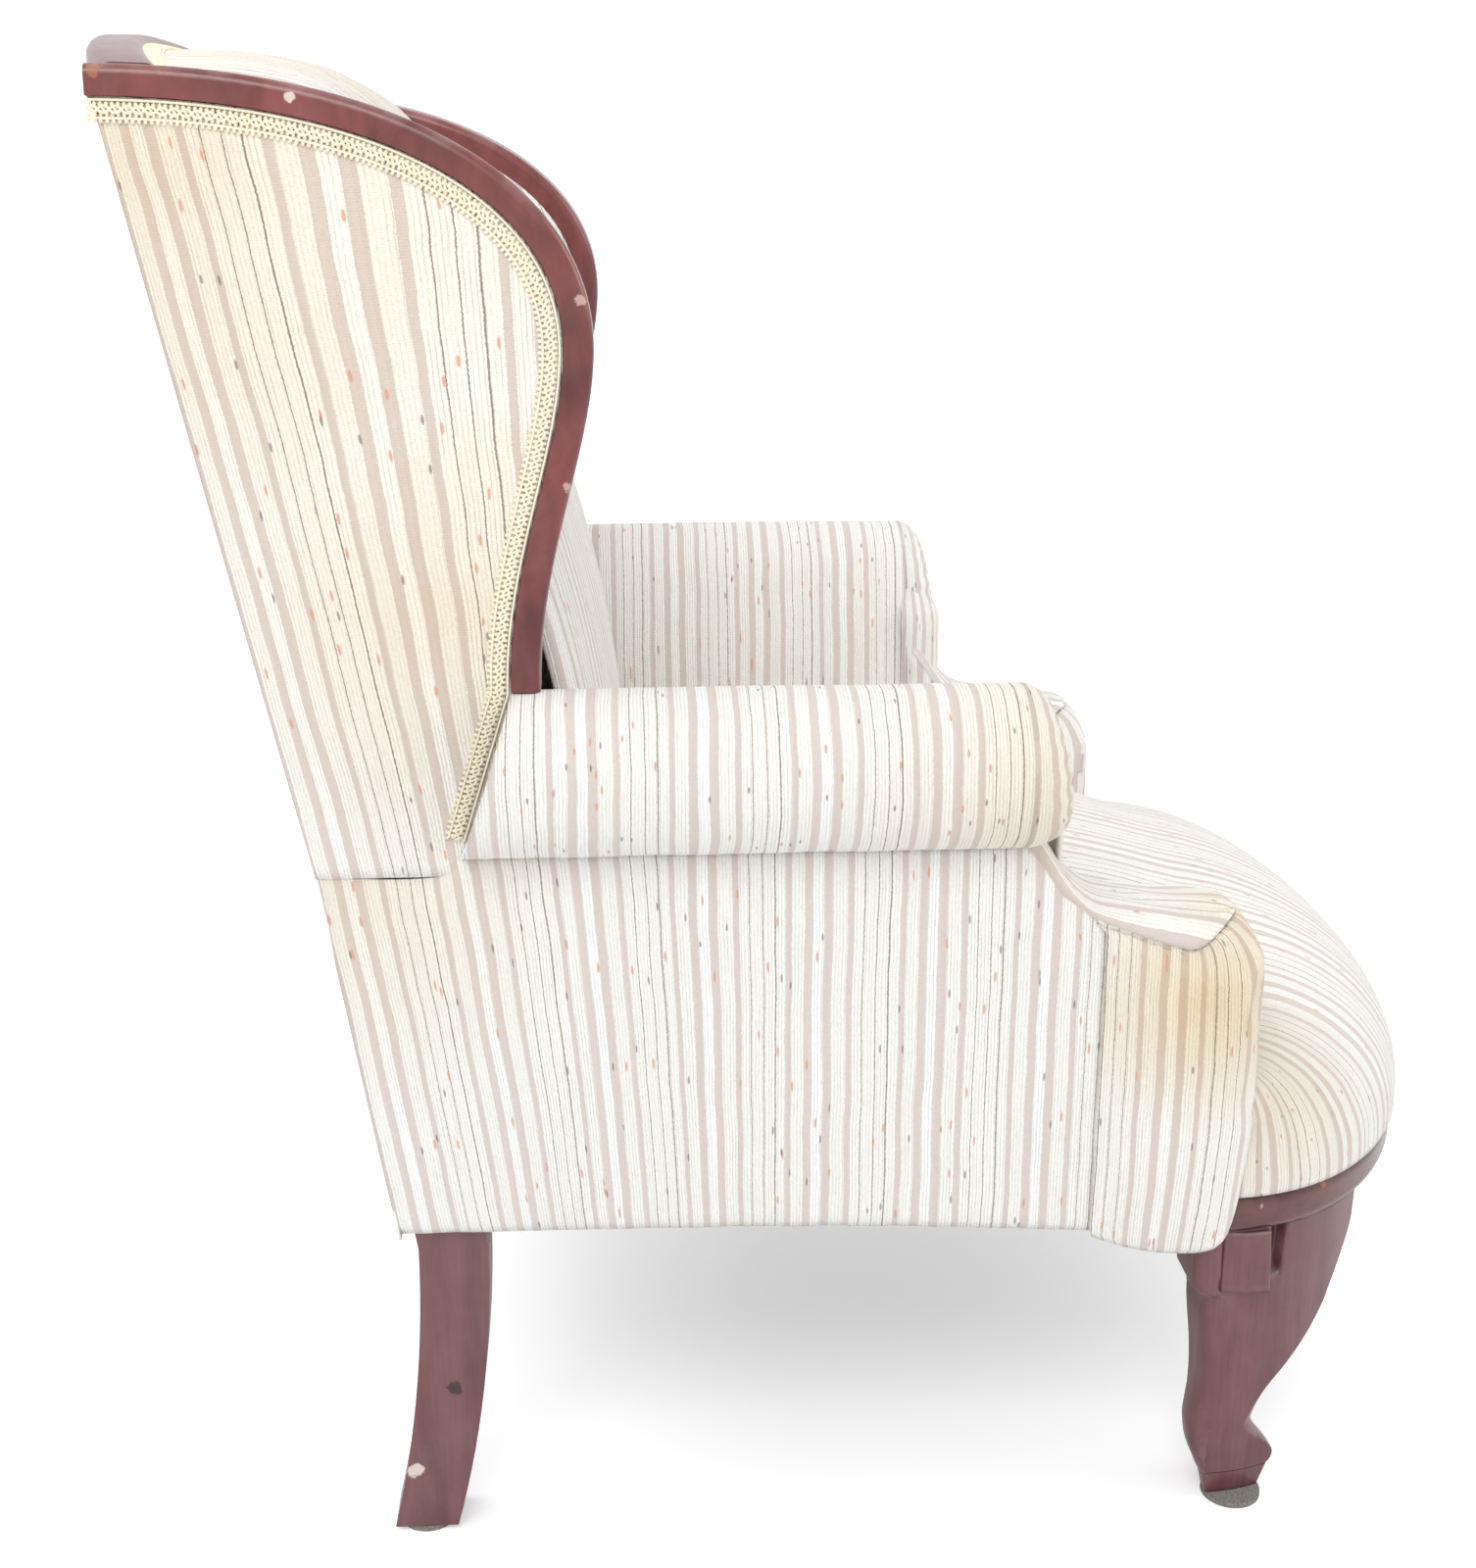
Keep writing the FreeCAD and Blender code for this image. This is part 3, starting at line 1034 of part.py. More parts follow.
# Felt glides
front_glide = rod("front_glide", "front_glide_radius", "glide_thickness", ("-foot_out", "-foot_front", "0"), "z")
keep(group("front_glides", [front_glide, mirrored(front_glide, "front_glide_twin")]), "front_glides")
rear_glide = rod("rear_glide", "rear_glide_radius", "glide_thickness",
                 (f"-({frame_face}) + rear_leg_width / 2", "rear_foot_back - rear_foot_depth / 2", "0"), "z")
keep(group("rear_glides", [rear_glide, mirrored(rear_glide, "rear_glide_twin")]), "rear_glides")

# Check every piece and write it
doc.recompute()
broken = [item.Label for item in doc.Objects if {"Invalid", "Error"} & set(item.State)]
broken += [item.Label for item in pieces if item.Shape.isNull() or not item.Shape.isValid()]
if broken:
    raise RuntimeError("not built: " + ", ".join(sorted(set(broken))))
os.makedirs("parts", exist_ok=True)
for item in pieces:
    item.Shape.exportStep(f"parts/{item.Label}.step")
print(len(pieces), "pieces")
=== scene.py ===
# %% [markdown]
# # A wingback armchair in striped chenille
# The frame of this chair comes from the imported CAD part: legs, show-wood rails, posts and blocks stand
# where they were built. This lesson dresses it. Each cover is a sheet of quads that follows the shape of
# what is under it, and each sheet carries the cloth's own measure in metres as a UV map, so that the
# stripes run where an upholsterer would lay them.

# %% Load the frame
import math
import bpy
import bmesh
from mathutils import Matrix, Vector, noise


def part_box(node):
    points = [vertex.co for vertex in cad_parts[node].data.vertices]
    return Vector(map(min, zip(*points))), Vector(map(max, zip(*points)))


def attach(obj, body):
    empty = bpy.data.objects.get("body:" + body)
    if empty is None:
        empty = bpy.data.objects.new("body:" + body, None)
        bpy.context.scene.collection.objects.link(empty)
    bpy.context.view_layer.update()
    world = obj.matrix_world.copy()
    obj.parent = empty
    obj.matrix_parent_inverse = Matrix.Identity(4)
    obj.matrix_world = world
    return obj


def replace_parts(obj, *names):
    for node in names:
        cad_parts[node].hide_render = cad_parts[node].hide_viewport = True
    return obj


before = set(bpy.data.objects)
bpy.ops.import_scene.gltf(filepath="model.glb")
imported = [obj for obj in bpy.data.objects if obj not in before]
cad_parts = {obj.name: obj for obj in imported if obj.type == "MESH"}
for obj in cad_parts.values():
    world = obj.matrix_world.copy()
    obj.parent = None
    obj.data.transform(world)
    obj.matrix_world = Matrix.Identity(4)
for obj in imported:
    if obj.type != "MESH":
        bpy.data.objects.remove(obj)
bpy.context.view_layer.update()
scene = bpy.context.scene

# %% [markdown]
# ## The camera
# The photograph was taken from the chair's right, a little above the arm, with a moderate lens. The place,
# the two angles and the focal length in pixels were fitted to points on the chair. The sensor's 36 mm
# belongs to the longer side of the picture, which is its height.

# %% The camera
CAMERA_PLACE = Vector((-1.510, 0.135, 0.930))
CAMERA_YAW = math.radians(3.518)
CAMERA_PITCH = math.radians(17.381)
FOCAL_PIXELS = 2074.3
PICTURE_HEIGHT_PIXELS = 1600
SENSOR_MM = 36.0

camera = bpy.data.objects.new("camera", bpy.data.cameras.new("camera"))
scene.collection.objects.link(camera)
looking = Vector((
    math.cos(CAMERA_YAW) * math.cos(CAMERA_PITCH),
    -math.sin(CAMERA_YAW) * math.cos(CAMERA_PITCH),
    -math.sin(CAMERA_PITCH)))
camera.location = CAMERA_PLACE
camera.rotation_mode = "QUATERNION"
camera.rotation_quaternion = looking.to_track_quat("-Z", "Y")
camera.data.sensor_width = SENSOR_MM
camera.data.lens = FOCAL_PIXELS / PICTURE_HEIGHT_PIXELS * SENSOR_MM
scene.camera = camera
print("lens", round(camera.data.lens, 2), "mm")

# %% [markdown]
# ## Small tools for shader nodes
# A material is a tree of nodes. Two helpers keep the trees short to write: one adds a node with its
# settings and wires, the other is for arithmetic.

# %% Node helpers
def add(tree, kind, wires=None, **settings):
    """A new shader node: settings are its properties, wires its inputs, as values or as sockets to link."""
    node = tree.nodes.new("ShaderNode" + kind)
    for name, value in settings.items():
        setattr(node, name, value)
    for socket, value in (wires or {}).items():
        if isinstance(value, bpy.types.NodeSocket):
            tree.links.new(value, node.inputs[socket])
        else:
            node.inputs[socket].default_value = value
    return node


def calc(tree, operation, *values):
    """The output of a Math node."""
    return add(tree, "Math", dict(enumerate(values)), operation=operation).outputs[0]


def blend(tree, share, first, second, kind="MIX"):
    """Two colours mixed by a share."""
    mix = add(tree, "Mix", data_type="RGBA", blend_type=kind)
    for index, value in ((0, share), (6, first), (7, second)):
        if isinstance(value, bpy.types.NodeSocket):
            tree.links.new(value, mix.inputs[index])
        else:
            mix.inputs[index].default_value = value
    return mix.outputs[2]


def ramp(tree, share, stops, interpolation="LINEAR"):
    """A colour ramp over (position, colour) stops."""
    node = add(tree, "ValToRGB", {0: share})
    node.color_ramp.interpolation = interpolation
    while len(node.color_ramp.elements) < len(stops):
        node.color_ramp.elements.new(1)
    for element, (position, colour) in zip(node.color_ramp.elements, stops):
        element.position, element.color = position, colour
    return node.outputs[0]


def smooth_share(tree, value, low, high):
    """0 below low, 1 above high and smooth between them."""
    wires = {"Value": value, "From Min": low, "From Max": high}
    return add(tree, "MapRange", wires, interpolation_type="SMOOTHSTEP").outputs[0]


def nudged(tree, value, noisy, reach):
    """A value moved to and fro by a noise, by up to half the reach each way."""
    return calc(tree, "ADD", value, calc(tree, "MULTIPLY", calc(tree, "SUBTRACT", noisy, 0.5), reach))


def grey(value):
    return (value, value, value, 1)


def paint(red, green, blue):
    """A colour as a screen shows it, 0 to 255, in the linear numbers that nodes use."""
    return tuple((c / 255 / 12.92 if c < 11 else ((c / 255 + 0.055) / 1.055) ** 2.4)
                 for c in (red, green, blue)) + (1,)


def effect(name, takes, gives):
    """An empty node group with its sockets, and its input and output nodes."""
    group = bpy.data.node_groups.new(name, "ShaderNodeTree")
    for title, kind, value in takes:
        socket = group.interface.new_socket(title, in_out="INPUT", socket_type="NodeSocket" + kind)
        if value is not None:
            socket.default_value = value
    for title, kind in gives:
        group.interface.new_socket(title, in_out="OUTPUT", socket_type="NodeSocket" + kind)
    return group, group.nodes.new("NodeGroupInput").outputs, group.nodes.new("NodeGroupOutput")


def use(tree, group, wires):
    """A node group placed in a material with its own values."""
    node = tree.nodes.new("ShaderNodeGroup")
    node.node_tree = group
    for socket, value in wires.items():
        if isinstance(value, bpy.types.NodeSocket):
            tree.links.new(value, node.inputs[socket])
        else:
            node.inputs[socket].default_value = value
    return node.outputs


def material(name):
    """A material with its tree and its Principled shader."""
    made = bpy.data.materials.new(name)
    made.use_nodes = True
    return made, made.node_tree, made.node_tree.nodes["Principled BSDF"]


# %% [markdown]
# ## The striped chenille
# The cloth is woven from soft cream cords about two millimetres wide, laid side by side. Taupe bands of
# twill lie between them, some wide and some narrow, and thin dark threads part the cords. The pattern
# repeats every 74 mm. One group turns the cloth's measure into its colour and its height, so every cover
# shares one weave and only the measure differs from cover to cover.

# %% The weave as a node group
REPEAT = 0.0741
CORD = 0.0022
BEAD = 0.0017
CORD_WANDER = 0.004
TUFT_EDGE = 0.0011
TWILL_SLOPE, TWILL_PITCH = 1.3, 4200.0
THREAD_STRENGTH = 0.5
CREAM = paint(247, 245, 240)
WHITE = paint(250, 250, 248)
TAUPE = paint(219, 208, 202)
THREAD = paint(160, 149, 141)
BANDS_MM = [
    (5.7, TAUPE), (7.0, WHITE), (5.3, TAUPE), (8.5, CREAM), (3.8, TAUPE), (6.3, CREAM), (0.8, THREAD),
    (7.2, CREAM), (0.8, THREAD), (7.9, CREAM), (0.8, THREAD), (6.3, CREAM), (4.0, TAUPE), (9.7, CREAM)]

weave, given, result = effect(
    "chenille weave",
    [("Cloth", "Vector", None)],
    [("Colour", "Color"), ("Height", "Float"), ("Taupe", "Float")])
parts = add(weave, "SeparateXYZ", {0: given["Cloth"]})
across, along = parts.outputs[0], parts.outputs[1]
wander = add(weave, "TexNoise", {"Vector": given["Cloth"], "Scale": 14.0, "Detail": 2.0})
across = nudged(weave, across, wander.outputs[0], CORD_WANDER)
tufted = add(weave, "TexNoise", {"Vector": given["Cloth"], "Scale": 620.0, "Detail": 2.0}).outputs[0]
across = nudged(weave, across, tufted, TUFT_EDGE)
place = calc(weave, "FRACT", calc(weave, "DIVIDE", across, REPEAT))
stops, is_taupe, edge = [], [], 0.0
for width, colour in BANDS_MM:
    stops.append((edge / (REPEAT * 1000), colour))
    is_taupe.append((edge / (REPEAT * 1000), grey(1.0 if colour == TAUPE else 0.0)))
    edge += width
bands = ramp(weave, place, stops, "CONSTANT")
taupe = ramp(weave, place, is_taupe, "CONSTANT")
cord_place = calc(weave, "DIVIDE", across, CORD)
cord_round = calc(weave, "ABSOLUTE", calc(weave, "SINE", calc(weave, "MULTIPLY", cord_place, math.pi)))
cord_number = calc(weave, "FLOOR", cord_place)
cord_name = add(weave, "TexWhiteNoise", {"W": cord_number}, noise_dimensions="1D").outputs[0]
stretched = add(weave, "CombineXYZ", {
    0: calc(weave, "MULTIPLY", across, 900.0), 1: calc(weave, "MULTIPLY", along, 260.0)}).outputs[0]
pile = add(weave, "TexNoise", {
    "Vector": stretched, "Scale": 1.0, "Detail": 3.0, "Roughness": 0.65}).outputs[0]
slow = add(weave, "CombineXYZ", {
    0: calc(weave, "MULTIPLY", across, 260.0), 1: calc(weave, "MULTIPLY", along, 22.0)}).outputs[0]
uneven = add(weave, "TexNoise", {"Vector": slow, "Scale": 1.0, "Detail": 1.0}).outputs[0]
diagonal = calc(weave, "ADD", across, calc(weave, "MULTIPLY", along, TWILL_SLOPE))
twill = calc(weave, "SINE", calc(weave, "MULTIPLY", diagonal, TWILL_PITCH))
groove = calc(weave, "SUBTRACT", 1.0, smooth_share(weave, cord_round, 0.0, 0.42))
dashes = smooth_share(weave, calc(weave, "ADD", uneven, calc(weave, "MULTIPLY", cord_name, 0.42)), 0.62, 0.86)
parting = calc(weave, "MULTIPLY", groove, dashes)
parting = calc(weave, "MULTIPLY", parting, calc(weave, "SUBTRACT", 1.0, taupe))
tone = calc(weave, "ADD", calc(weave, "MULTIPLY", cord_name, 0.05), calc(weave, "MULTIPLY", pile, 0.16))
shade = add(weave, "CombineColor", {0: calc(weave, "ADD", tone, 0.87), 1: calc(weave, "ADD", tone, 0.87),
                                    2: calc(weave, "ADD", tone, 0.865)}).outputs[0]
colour = blend(weave, 1.0, bands, shade, "MULTIPLY")
colour = blend(weave, calc(weave, "MULTIPLY", parting, THREAD_STRENGTH), colour, THREAD)
cord_share = calc(weave, "SUBTRACT", 1.0, calc(weave, "MULTIPLY", taupe, 0.8))
height = calc(weave, "MULTIPLY", cord_round, cord_share)
bead_place = calc(weave, "ADD", along, calc(weave, "MULTIPLY", cord_name, 0.01))
beads = calc(weave, "SINE", calc(weave, "MULTIPLY", bead_place, 2 * math.pi / BEAD))
fluff = calc(weave, "ADD", calc(weave, "MULTIPLY", pile, 0.9), calc(weave, "MULTIPLY", beads, 0.16))
height = calc(weave, "ADD", height, fluff)
height = calc(weave, "ADD", height, calc(weave, "MULTIPLY", calc(weave, "MULTIPLY", twill, taupe), 0.12))
for socket, value in (("Colour", colour), ("Height", height), ("Taupe", taupe)):
    weave.links.new(value, result.inputs[socket])
print("weave repeats every", REPEAT, "m, in", len(BANDS_MM), "bands")

# %% [markdown]
# ## Slubs
# Here and there a thick spot of orange or near-black yarn shows in the weave. A Voronoi pattern scatters
# cells over the cloth, a random number per cell picks the few that hold a slub, and the cells are stretched
# along the thread, because a slub lies along its yarn.

# %% Slubs as a node group
slubs, given, result = effect(
    "yarn slubs",
    [("Cloth", "Vector", None), ("Share", "Float", 0.02), ("Spacing", "Float", 60.0),
     ("Length", "Float", 5.0)],
    [("Mask", "Float")])
parts = add(slubs, "SeparateXYZ", {0: given["Cloth"]})
cell_at = add(slubs, "CombineXYZ", {
    0: calc(slubs, "MULTIPLY", parts.outputs[0], calc(slubs, "MULTIPLY", given["Spacing"], given["Length"])),
    1: calc(slubs, "MULTIPLY", parts.outputs[1], given["Spacing"])}).outputs[0]
cells = add(slubs, "TexVoronoi", {"Vector": cell_at, "Scale": 1.0}, voronoi_dimensions="2D")
chosen = add(slubs, "SeparateColor", {0: cells.outputs["Color"]}).outputs[0]
spot = calc(slubs, "SUBTRACT", 1.0, smooth_share(slubs, cells.outputs["Distance"], 0.14, 0.3))
mask = calc(slubs, "MULTIPLY", spot, calc(slubs, "LESS_THAN", chosen, given["Share"]))
slubs.links.new(mask, result.inputs["Mask"])

# %% [markdown]
# ## Age
# Hands and sun have yellowed the chair: most at the top of the wings, the front of the arms and the tops of
# the posts. The group mixes a slow noise with how close a point is to such a place, and gives a share that
# any material can use to warm its colour.

# %% Age as a node group
age, given, result = effect(
    "yellowing",
    [("Place", "Vector", None), ("Centre", "Vector", None), ("Reach", "Float", 0.2), ("Base", "Float", 0.1)],
    [("Share", "Float")])
apart = add(age, "VectorMath", {0: given["Place"], 1: given["Centre"]}, operation="DISTANCE").outputs[1]
near = calc(age, "SUBTRACT", 1.0, calc(age, "MINIMUM", calc(age, "DIVIDE", apart, given["Reach"]), 1.0))
cloudy = add(age, "TexNoise", {"Vector": given["Place"], "Scale": 9.0, "Detail": 4.0}).outputs[0]
share = calc(age, "MULTIPLY", calc(age, "ADD", near, given["Base"]), calc(age, "ADD", cloudy, 0.35))
age.links.new(calc(age, "MINIMUM", share, 1.0), result.inputs["Share"])

# %% The upholstery materials
AGED = paint(238, 220, 184)
ORANGE_SLUB, DARK_SLUB = paint(226, 146, 112), paint(112, 106, 108)
DARK_SHIFT = (0.37, 0.11, 0)
CHENILLE_ROUGH, TAUPE_ROUGHER = 0.86, 0.06
CHENILLE_BUMP = 0.0009


def chenille(name, stains, base, strength=0.55):
    """The striped cloth with its slubs and its yellowing about (centre, reach) places."""
    made, tree, shader = material(name)
    cloth = add(tree, "UVMap", uv_map="cloth").outputs[0]
    where = add(tree, "TexCoord").outputs["Object"]
    woven = use(tree, weave, {"Cloth": cloth})
    orange = use(tree, slubs, {"Cloth": cloth, "Share": 0.022, "Spacing": 62.0, "Length": 5.0})["Mask"]
    shifted = add(tree, "VectorMath", {0: cloth, 1: DARK_SHIFT}, operation="ADD").outputs[0]
    dark = use(tree, slubs, {"Cloth": shifted, "Share": 0.016, "Spacing": 75.0, "Length": 4.5})["Mask"]
    yellow = 0.0
    for centre, reach in stains:
        place = use(tree, age, {"Place": where, "Centre": centre, "Reach": reach, "Base": base})["Share"]
        yellow = calc(tree, "MAXIMUM", yellow, place)
    colour = blend(tree, calc(tree, "MULTIPLY", yellow, strength), woven["Colour"], AGED, "MULTIPLY")
    colour = blend(tree, calc(tree, "MULTIPLY", orange, 0.75), colour, ORANGE_SLUB)
    colour = blend(tree, calc(tree, "MULTIPLY", dark, 0.7), colour, DARK_SLUB)
    tree.links.new(colour, shader.inputs["Base Color"])
    raised = calc(tree, "ADD", woven["Height"], calc(tree, "MULTIPLY", calc(tree, "ADD", orange, dark), 0.8))
    bump = add(tree, "Bump", {"Height": raised, "Strength": 0.7, "Distance": CHENILLE_BUMP})
    tree.links.new(bump.outputs[0], shader.inputs["Normal"])
    rough = calc(tree, "ADD", CHENILLE_ROUGH, calc(tree, "MULTIPLY", woven["Taupe"], TAUPE_ROUGHER))
    tree.links.new(rough, shader.inputs["Roughness"])
    shader.inputs["Sheen Weight"].default_value = 0.25
    shader.inputs["Sheen Roughness"].default_value = 0.45
    shader.inputs["Specular IOR Level"].default_value = 0.2
    return made


wing_cloth = chenille(
    "chenille of the wings", [((-0.27, 0.40, 0.93), 0.36), ((-0.29, 0.22, 0.66), 0.20)], 0.05, 0.6)
side_cloth = chenille("chenille of the sides", [((-0.30, 0.33, 0.50), 0.18)], 0.02, 0.5)
arm_cloth = chenille(
    "chenille of the arms", [((-0.33, -0.13, 0.55), 0.13), ((-0.27, -0.262, 0.444), 0.05)], 0.03)
post_cloth = chenille(
    "chenille of the posts", [((-0.27, -0.28, 0.44), 0.07), ((-0.30, -0.25, 0.40), 0.10)], 0.07, 1.0)
seat_cloth = chenille("chenille of the seat", [((-0.27, -0.30, 0.30), 0.10)], 0.01)
back_cloth = chenille("chenille of the back", [((0.0, 0.36, 0.99), 0.25)], 0.02)
print("six chenilles share one weave")

# %% [markdown]
# ## Mahogany under lacquer
# The show wood is stained red-brown and lacquered to a satin shine. Long noise along the board gives the
# grain. Knocks have taken the lacquer off on the corners, so a wear group puts pale chips about chosen
# places, and a haze group lightens what faces up with dust and painted sheen.

# %% Grain, wear, and dust with painted sheen as node groups
grain, given, result = effect(
    "board grain",
    [("Place", "Vector", None), ("Stretch", "Vector", (60.0, 60.0, 7.0)), ("Dark", "Color", None),
     ("Light", "Color", None)],
    [("Colour", "Color"), ("Value", "Float")])
stretched = add(
    grain, "VectorMath", {0: given["Place"], 1: given["Stretch"]}, operation="MULTIPLY").outputs[0]
figure = add(grain, "TexNoise", {"Vector": stretched, "Scale": 1.0, "Detail": 5.0, "Roughness": 0.6,
                                 "Distortion": 0.6}).outputs[0]
fine = add(grain, "VectorMath", {0: stretched, 1: (9.0, 9.0, 3.0)}, operation="MULTIPLY").outputs[0]
pores = add(grain, "TexNoise", {"Vector": fine, "Scale": 1.0, "Detail": 2.0}).outputs[0]
value = calc(grain, "ADD", calc(grain, "MULTIPLY", figure, 0.75), calc(grain, "MULTIPLY", pores, 0.25))
grain.links.new(blend(grain, smooth_share(grain, value, 0.3, 0.7), given["Dark"], given["Light"]),
                result.inputs["Colour"])
grain.links.new(value, result.inputs["Value"])

wear, given, result = effect(
    "chip",
    [("Place", "Vector", None), ("Centre", "Vector", None), ("Reach", "Float", 0.02),
     ("Amount", "Float", 0.5)],
    [("Mask", "Float")])
apart = add(wear, "VectorMath", {0: given["Place"], 1: given["Centre"]}, operation="DISTANCE").outputs[1]
ragged = add(wear, "TexNoise", {
    "Vector": given["Place"], "Scale": 160.0, "Detail": 4.0, "Roughness": 0.7}).outputs[0]
close = calc(wear, "SUBTRACT", 1.0, calc(wear, "DIVIDE", apart, given["Reach"]))
rough_edge = calc(wear, "MULTIPLY", ragged, given["Amount"])
flaked = calc(wear, "ADD", calc(wear, "MULTIPLY", close, 0.6), rough_edge)
in_reach = calc(wear, "GREATER_THAN", close, 0.0)
chips_only = calc(wear, "MULTIPLY", smooth_share(wear, flaked, 0.56, 0.62), in_reach)
wear.links.new(chips_only, result.inputs["Mask"])

# Dust and painted sheen: a pale haze that is strongest on what faces up. It is partly dust and partly the
# lacquer's sheen, painted into the colour.
dust_and_sheen, given, result = effect("painted sheen and dusting", [("Place", "Vector", None), ("Amount", "Float", 0.3)],
                             [("Share", "Float")])
up = add(dust_and_sheen, "SeparateXYZ", {0: add(dust_and_sheen, "NewGeometry").outputs["Normal"]}).outputs[2]
patchy = add(dust_and_sheen, "TexNoise", {"Vector": given["Place"], "Scale": 40.0, "Detail": 5.0}).outputs[0]
dust_and_sheen_share = calc(dust_and_sheen, "MULTIPLY", smooth_share(dust_and_sheen, up, -0.2, 1.0), smooth_share(dust_and_sheen, patchy, 0.35, 0.75))
dust_and_sheen.links.new(calc(dust_and_sheen, "MULTIPLY", dust_and_sheen_share, given["Amount"]), result.inputs["Share"])


# The pale grey-pink of that haze: dust and painted sheen together.
DUST_AND_SHEEN = paint(176, 160, 160)
MAHOGANY_BUMP = 0.0006


def mahogany(name, stretch, dark, light, chips, haze=0.32, rough=0.3):
    """Lacquered show wood with chips at named places, and a haze of dust and painted sheen on what faces up.
    """
    made, tree, shader = material(name)
    where = add(tree, "TexCoord").outputs["Object"]
    board = use(tree, grain, {"Place": where, "Stretch": stretch, "Dark": dark, "Light": light})
    colour = board["Colour"]
    worn = 0.0
    for centre, reach, amount, bare in chips:
        chip = use(tree, wear, {"Place": where, "Centre": centre, "Reach": reach, "Amount": amount})["Mask"]
        colour = blend(tree, calc(tree, "MULTIPLY", chip, 0.85), colour, bare)
        worn = calc(tree, "MAXIMUM", worn, chip)
    # Painted sheen and dust: a pale haze mixed into the colour on what faces up.
    dust_and_sheen_share = use(tree, dust_and_sheen, {"Place": where, "Amount": haze})["Share"]
    colour = blend(tree, dust_and_sheen_share, colour, DUST_AND_SHEEN)
    tree.links.new(colour, shader.inputs["Base Color"])
    scuffs = add(tree, "TexNoise", {"Vector": where, "Scale": 22.0, "Detail": 6.0}).outputs[0]
    gloss = calc(tree, "ADD", rough - 0.08, calc(tree, "MULTIPLY", scuffs, 0.16))
    gloss = calc(tree, "ADD", gloss, calc(tree, "MULTIPLY", calc(tree, "ADD", worn, dust_and_sheen_share), 0.3))
    tree.links.new(gloss, shader.inputs["Roughness"])
    dents = calc(tree, "SUBTRACT", calc(tree, "MULTIPLY", board["Value"], 0.25), worn)
    bump = add(tree, "Bump", {"Height": dents, "Strength": 0.35, "Distance": MAHOGANY_BUMP})
    tree.links.new(bump.outputs[0], shader.inputs["Normal"])
    shader.inputs["Coat Weight"].default_value = 0.35
    shader.inputs["Coat Roughness"].default_value = 0.16
    return made


BARE_PINK = paint(196, 160, 150)
BARE_PALE = paint(222, 208, 196)
BARE_ORANGE = paint(160, 96, 62)
rail_wood = mahogany("mahogany of the wings", (30.0, 12.0, 12.0), paint(84, 34, 34), paint(132, 64, 60), [
    ((-0.272, 0.424, 0.972), 0.012, 0.42, BARE_ORANGE),
    ((-0.276, 0.315, 0.958), 0.010, 0.36, BARE_PALE),
    ((-0.279, 0.288, 0.952), 0.006, 0.42, BARE_PALE),
    ((-0.282, 0.152, 0.845), 0.011, 0.38, BARE_PINK),
    ((-0.289, 0.160, 0.735), 0.014, 0.36, BARE_PINK)])
bow_wood = mahogany("mahogany of the seat rail", (14.0, 14.0, 40.0), paint(70, 34, 34), paint(104, 58, 54), [
    ((-0.291, -0.300, 0.236), 0.007, 0.5, BARE_PINK),
    ((-0.268, -0.352, 0.240), 0.008, 0.42, BARE_ORANGE),
    ((-0.245, -0.388, 0.238), 0.005, 0.5, BARE_PALE)])
leg_wood = mahogany("mahogany of the legs", (45.0, 45.0, 7.0), paint(92, 50, 52), paint(116, 70, 72), [
    ((-0.290, 0.255, 0.115), 0.014, 0.45, paint(40, 24, 26)),
    ((-0.290, 0.285, 0.050), 0.016, 0.42, BARE_PALE)], haze=0.6, rough=0.34)


# %% The plain materials
def beech(name):
    made, tree, shader = material(name)
    where = add(tree, "TexCoord").outputs["Object"]
    board = use(tree, grain, {"Place": where, "Stretch": (50.0, 12.0, 30.0), "Dark": paint(176, 132, 88),
                              "Light": paint(214, 176, 128)})
    tree.links.new(board["Colour"], shader.inputs["Base Color"])
    bump = add(tree, "Bump", {"Height": board["Value"], "Strength": 0.3, "Distance": 0.0006})
    tree.links.new(bump.outputs[0], shader.inputs["Normal"])
    shader.inputs["Roughness"].default_value = 0.62
    return made


def speckled(name, dark, light, scale, rough, metal=0.0, depth=0.0006):
    """Felt, cambric, jute, braid or steel: two colours over fine noise, with a bump from the same noise."""
    made, tree, shader = material(name)
    where = add(tree, "TexCoord").outputs["Object"]
    fuzz = add(tree, "TexNoise", {
        "Vector": where, "Scale": scale, "Detail": 5.0, "Roughness": 0.7}).outputs[0]
    tree.links.new(blend(tree, smooth_share(tree, fuzz, 0.3, 0.7), dark, light), shader.inputs["Base Color"])
    bump = add(tree, "Bump", {"Height": fuzz, "Strength": 0.5, "Distance": depth})
    tree.links.new(bump.outputs[0], shader.inputs["Normal"])
    shader.inputs["Roughness"].default_value = rough
    shader.inputs["Metallic"].default_value = metal
    return made


beech_wood = beech("beech")
braid_yarn = speckled("braid yarn", paint(232, 220, 188), paint(250, 243, 224), 900.0, 0.75)
grey_felt = speckled("grey felt", paint(96, 92, 88), paint(150, 146, 140), 700.0, 0.95)
black_cambric = speckled("black cambric", paint(30, 30, 32), paint(52, 52, 54), 1200.0, 0.9)
jute = speckled("jute", paint(140, 112, 74), paint(196, 168, 120), 800.0, 0.9)
steel = speckled("steel", paint(120, 120, 122), paint(170, 170, 172), 300.0, 0.4, 1.0, 0.0001)

FINISHES = {
    rail_wood: ("wing_rail_right", "wing_rail_left", "crest_rail"),
    bow_wood: ("bow_show_rail",),
    leg_wood: ("rear_leg_right", "rear_leg_left", "front_leg_right", "front_leg_left", "knee_ears"),
    grey_felt: ("front_glides", "rear_glides"),
    steel: ("leg_bolts_and_screws",),
}
finished = {node: finish for finish, nodes in FINISHES.items() for node in nodes}
for name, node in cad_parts.items():
    node.data.materials.clear()
    node.data.materials.append(finished.get(name, beech_wood))
    node.data.polygons.foreach_set("material_index", [0] * len(node.data.polygons))
print(len(finished), "nodes have show finishes, the others are beech until covered")

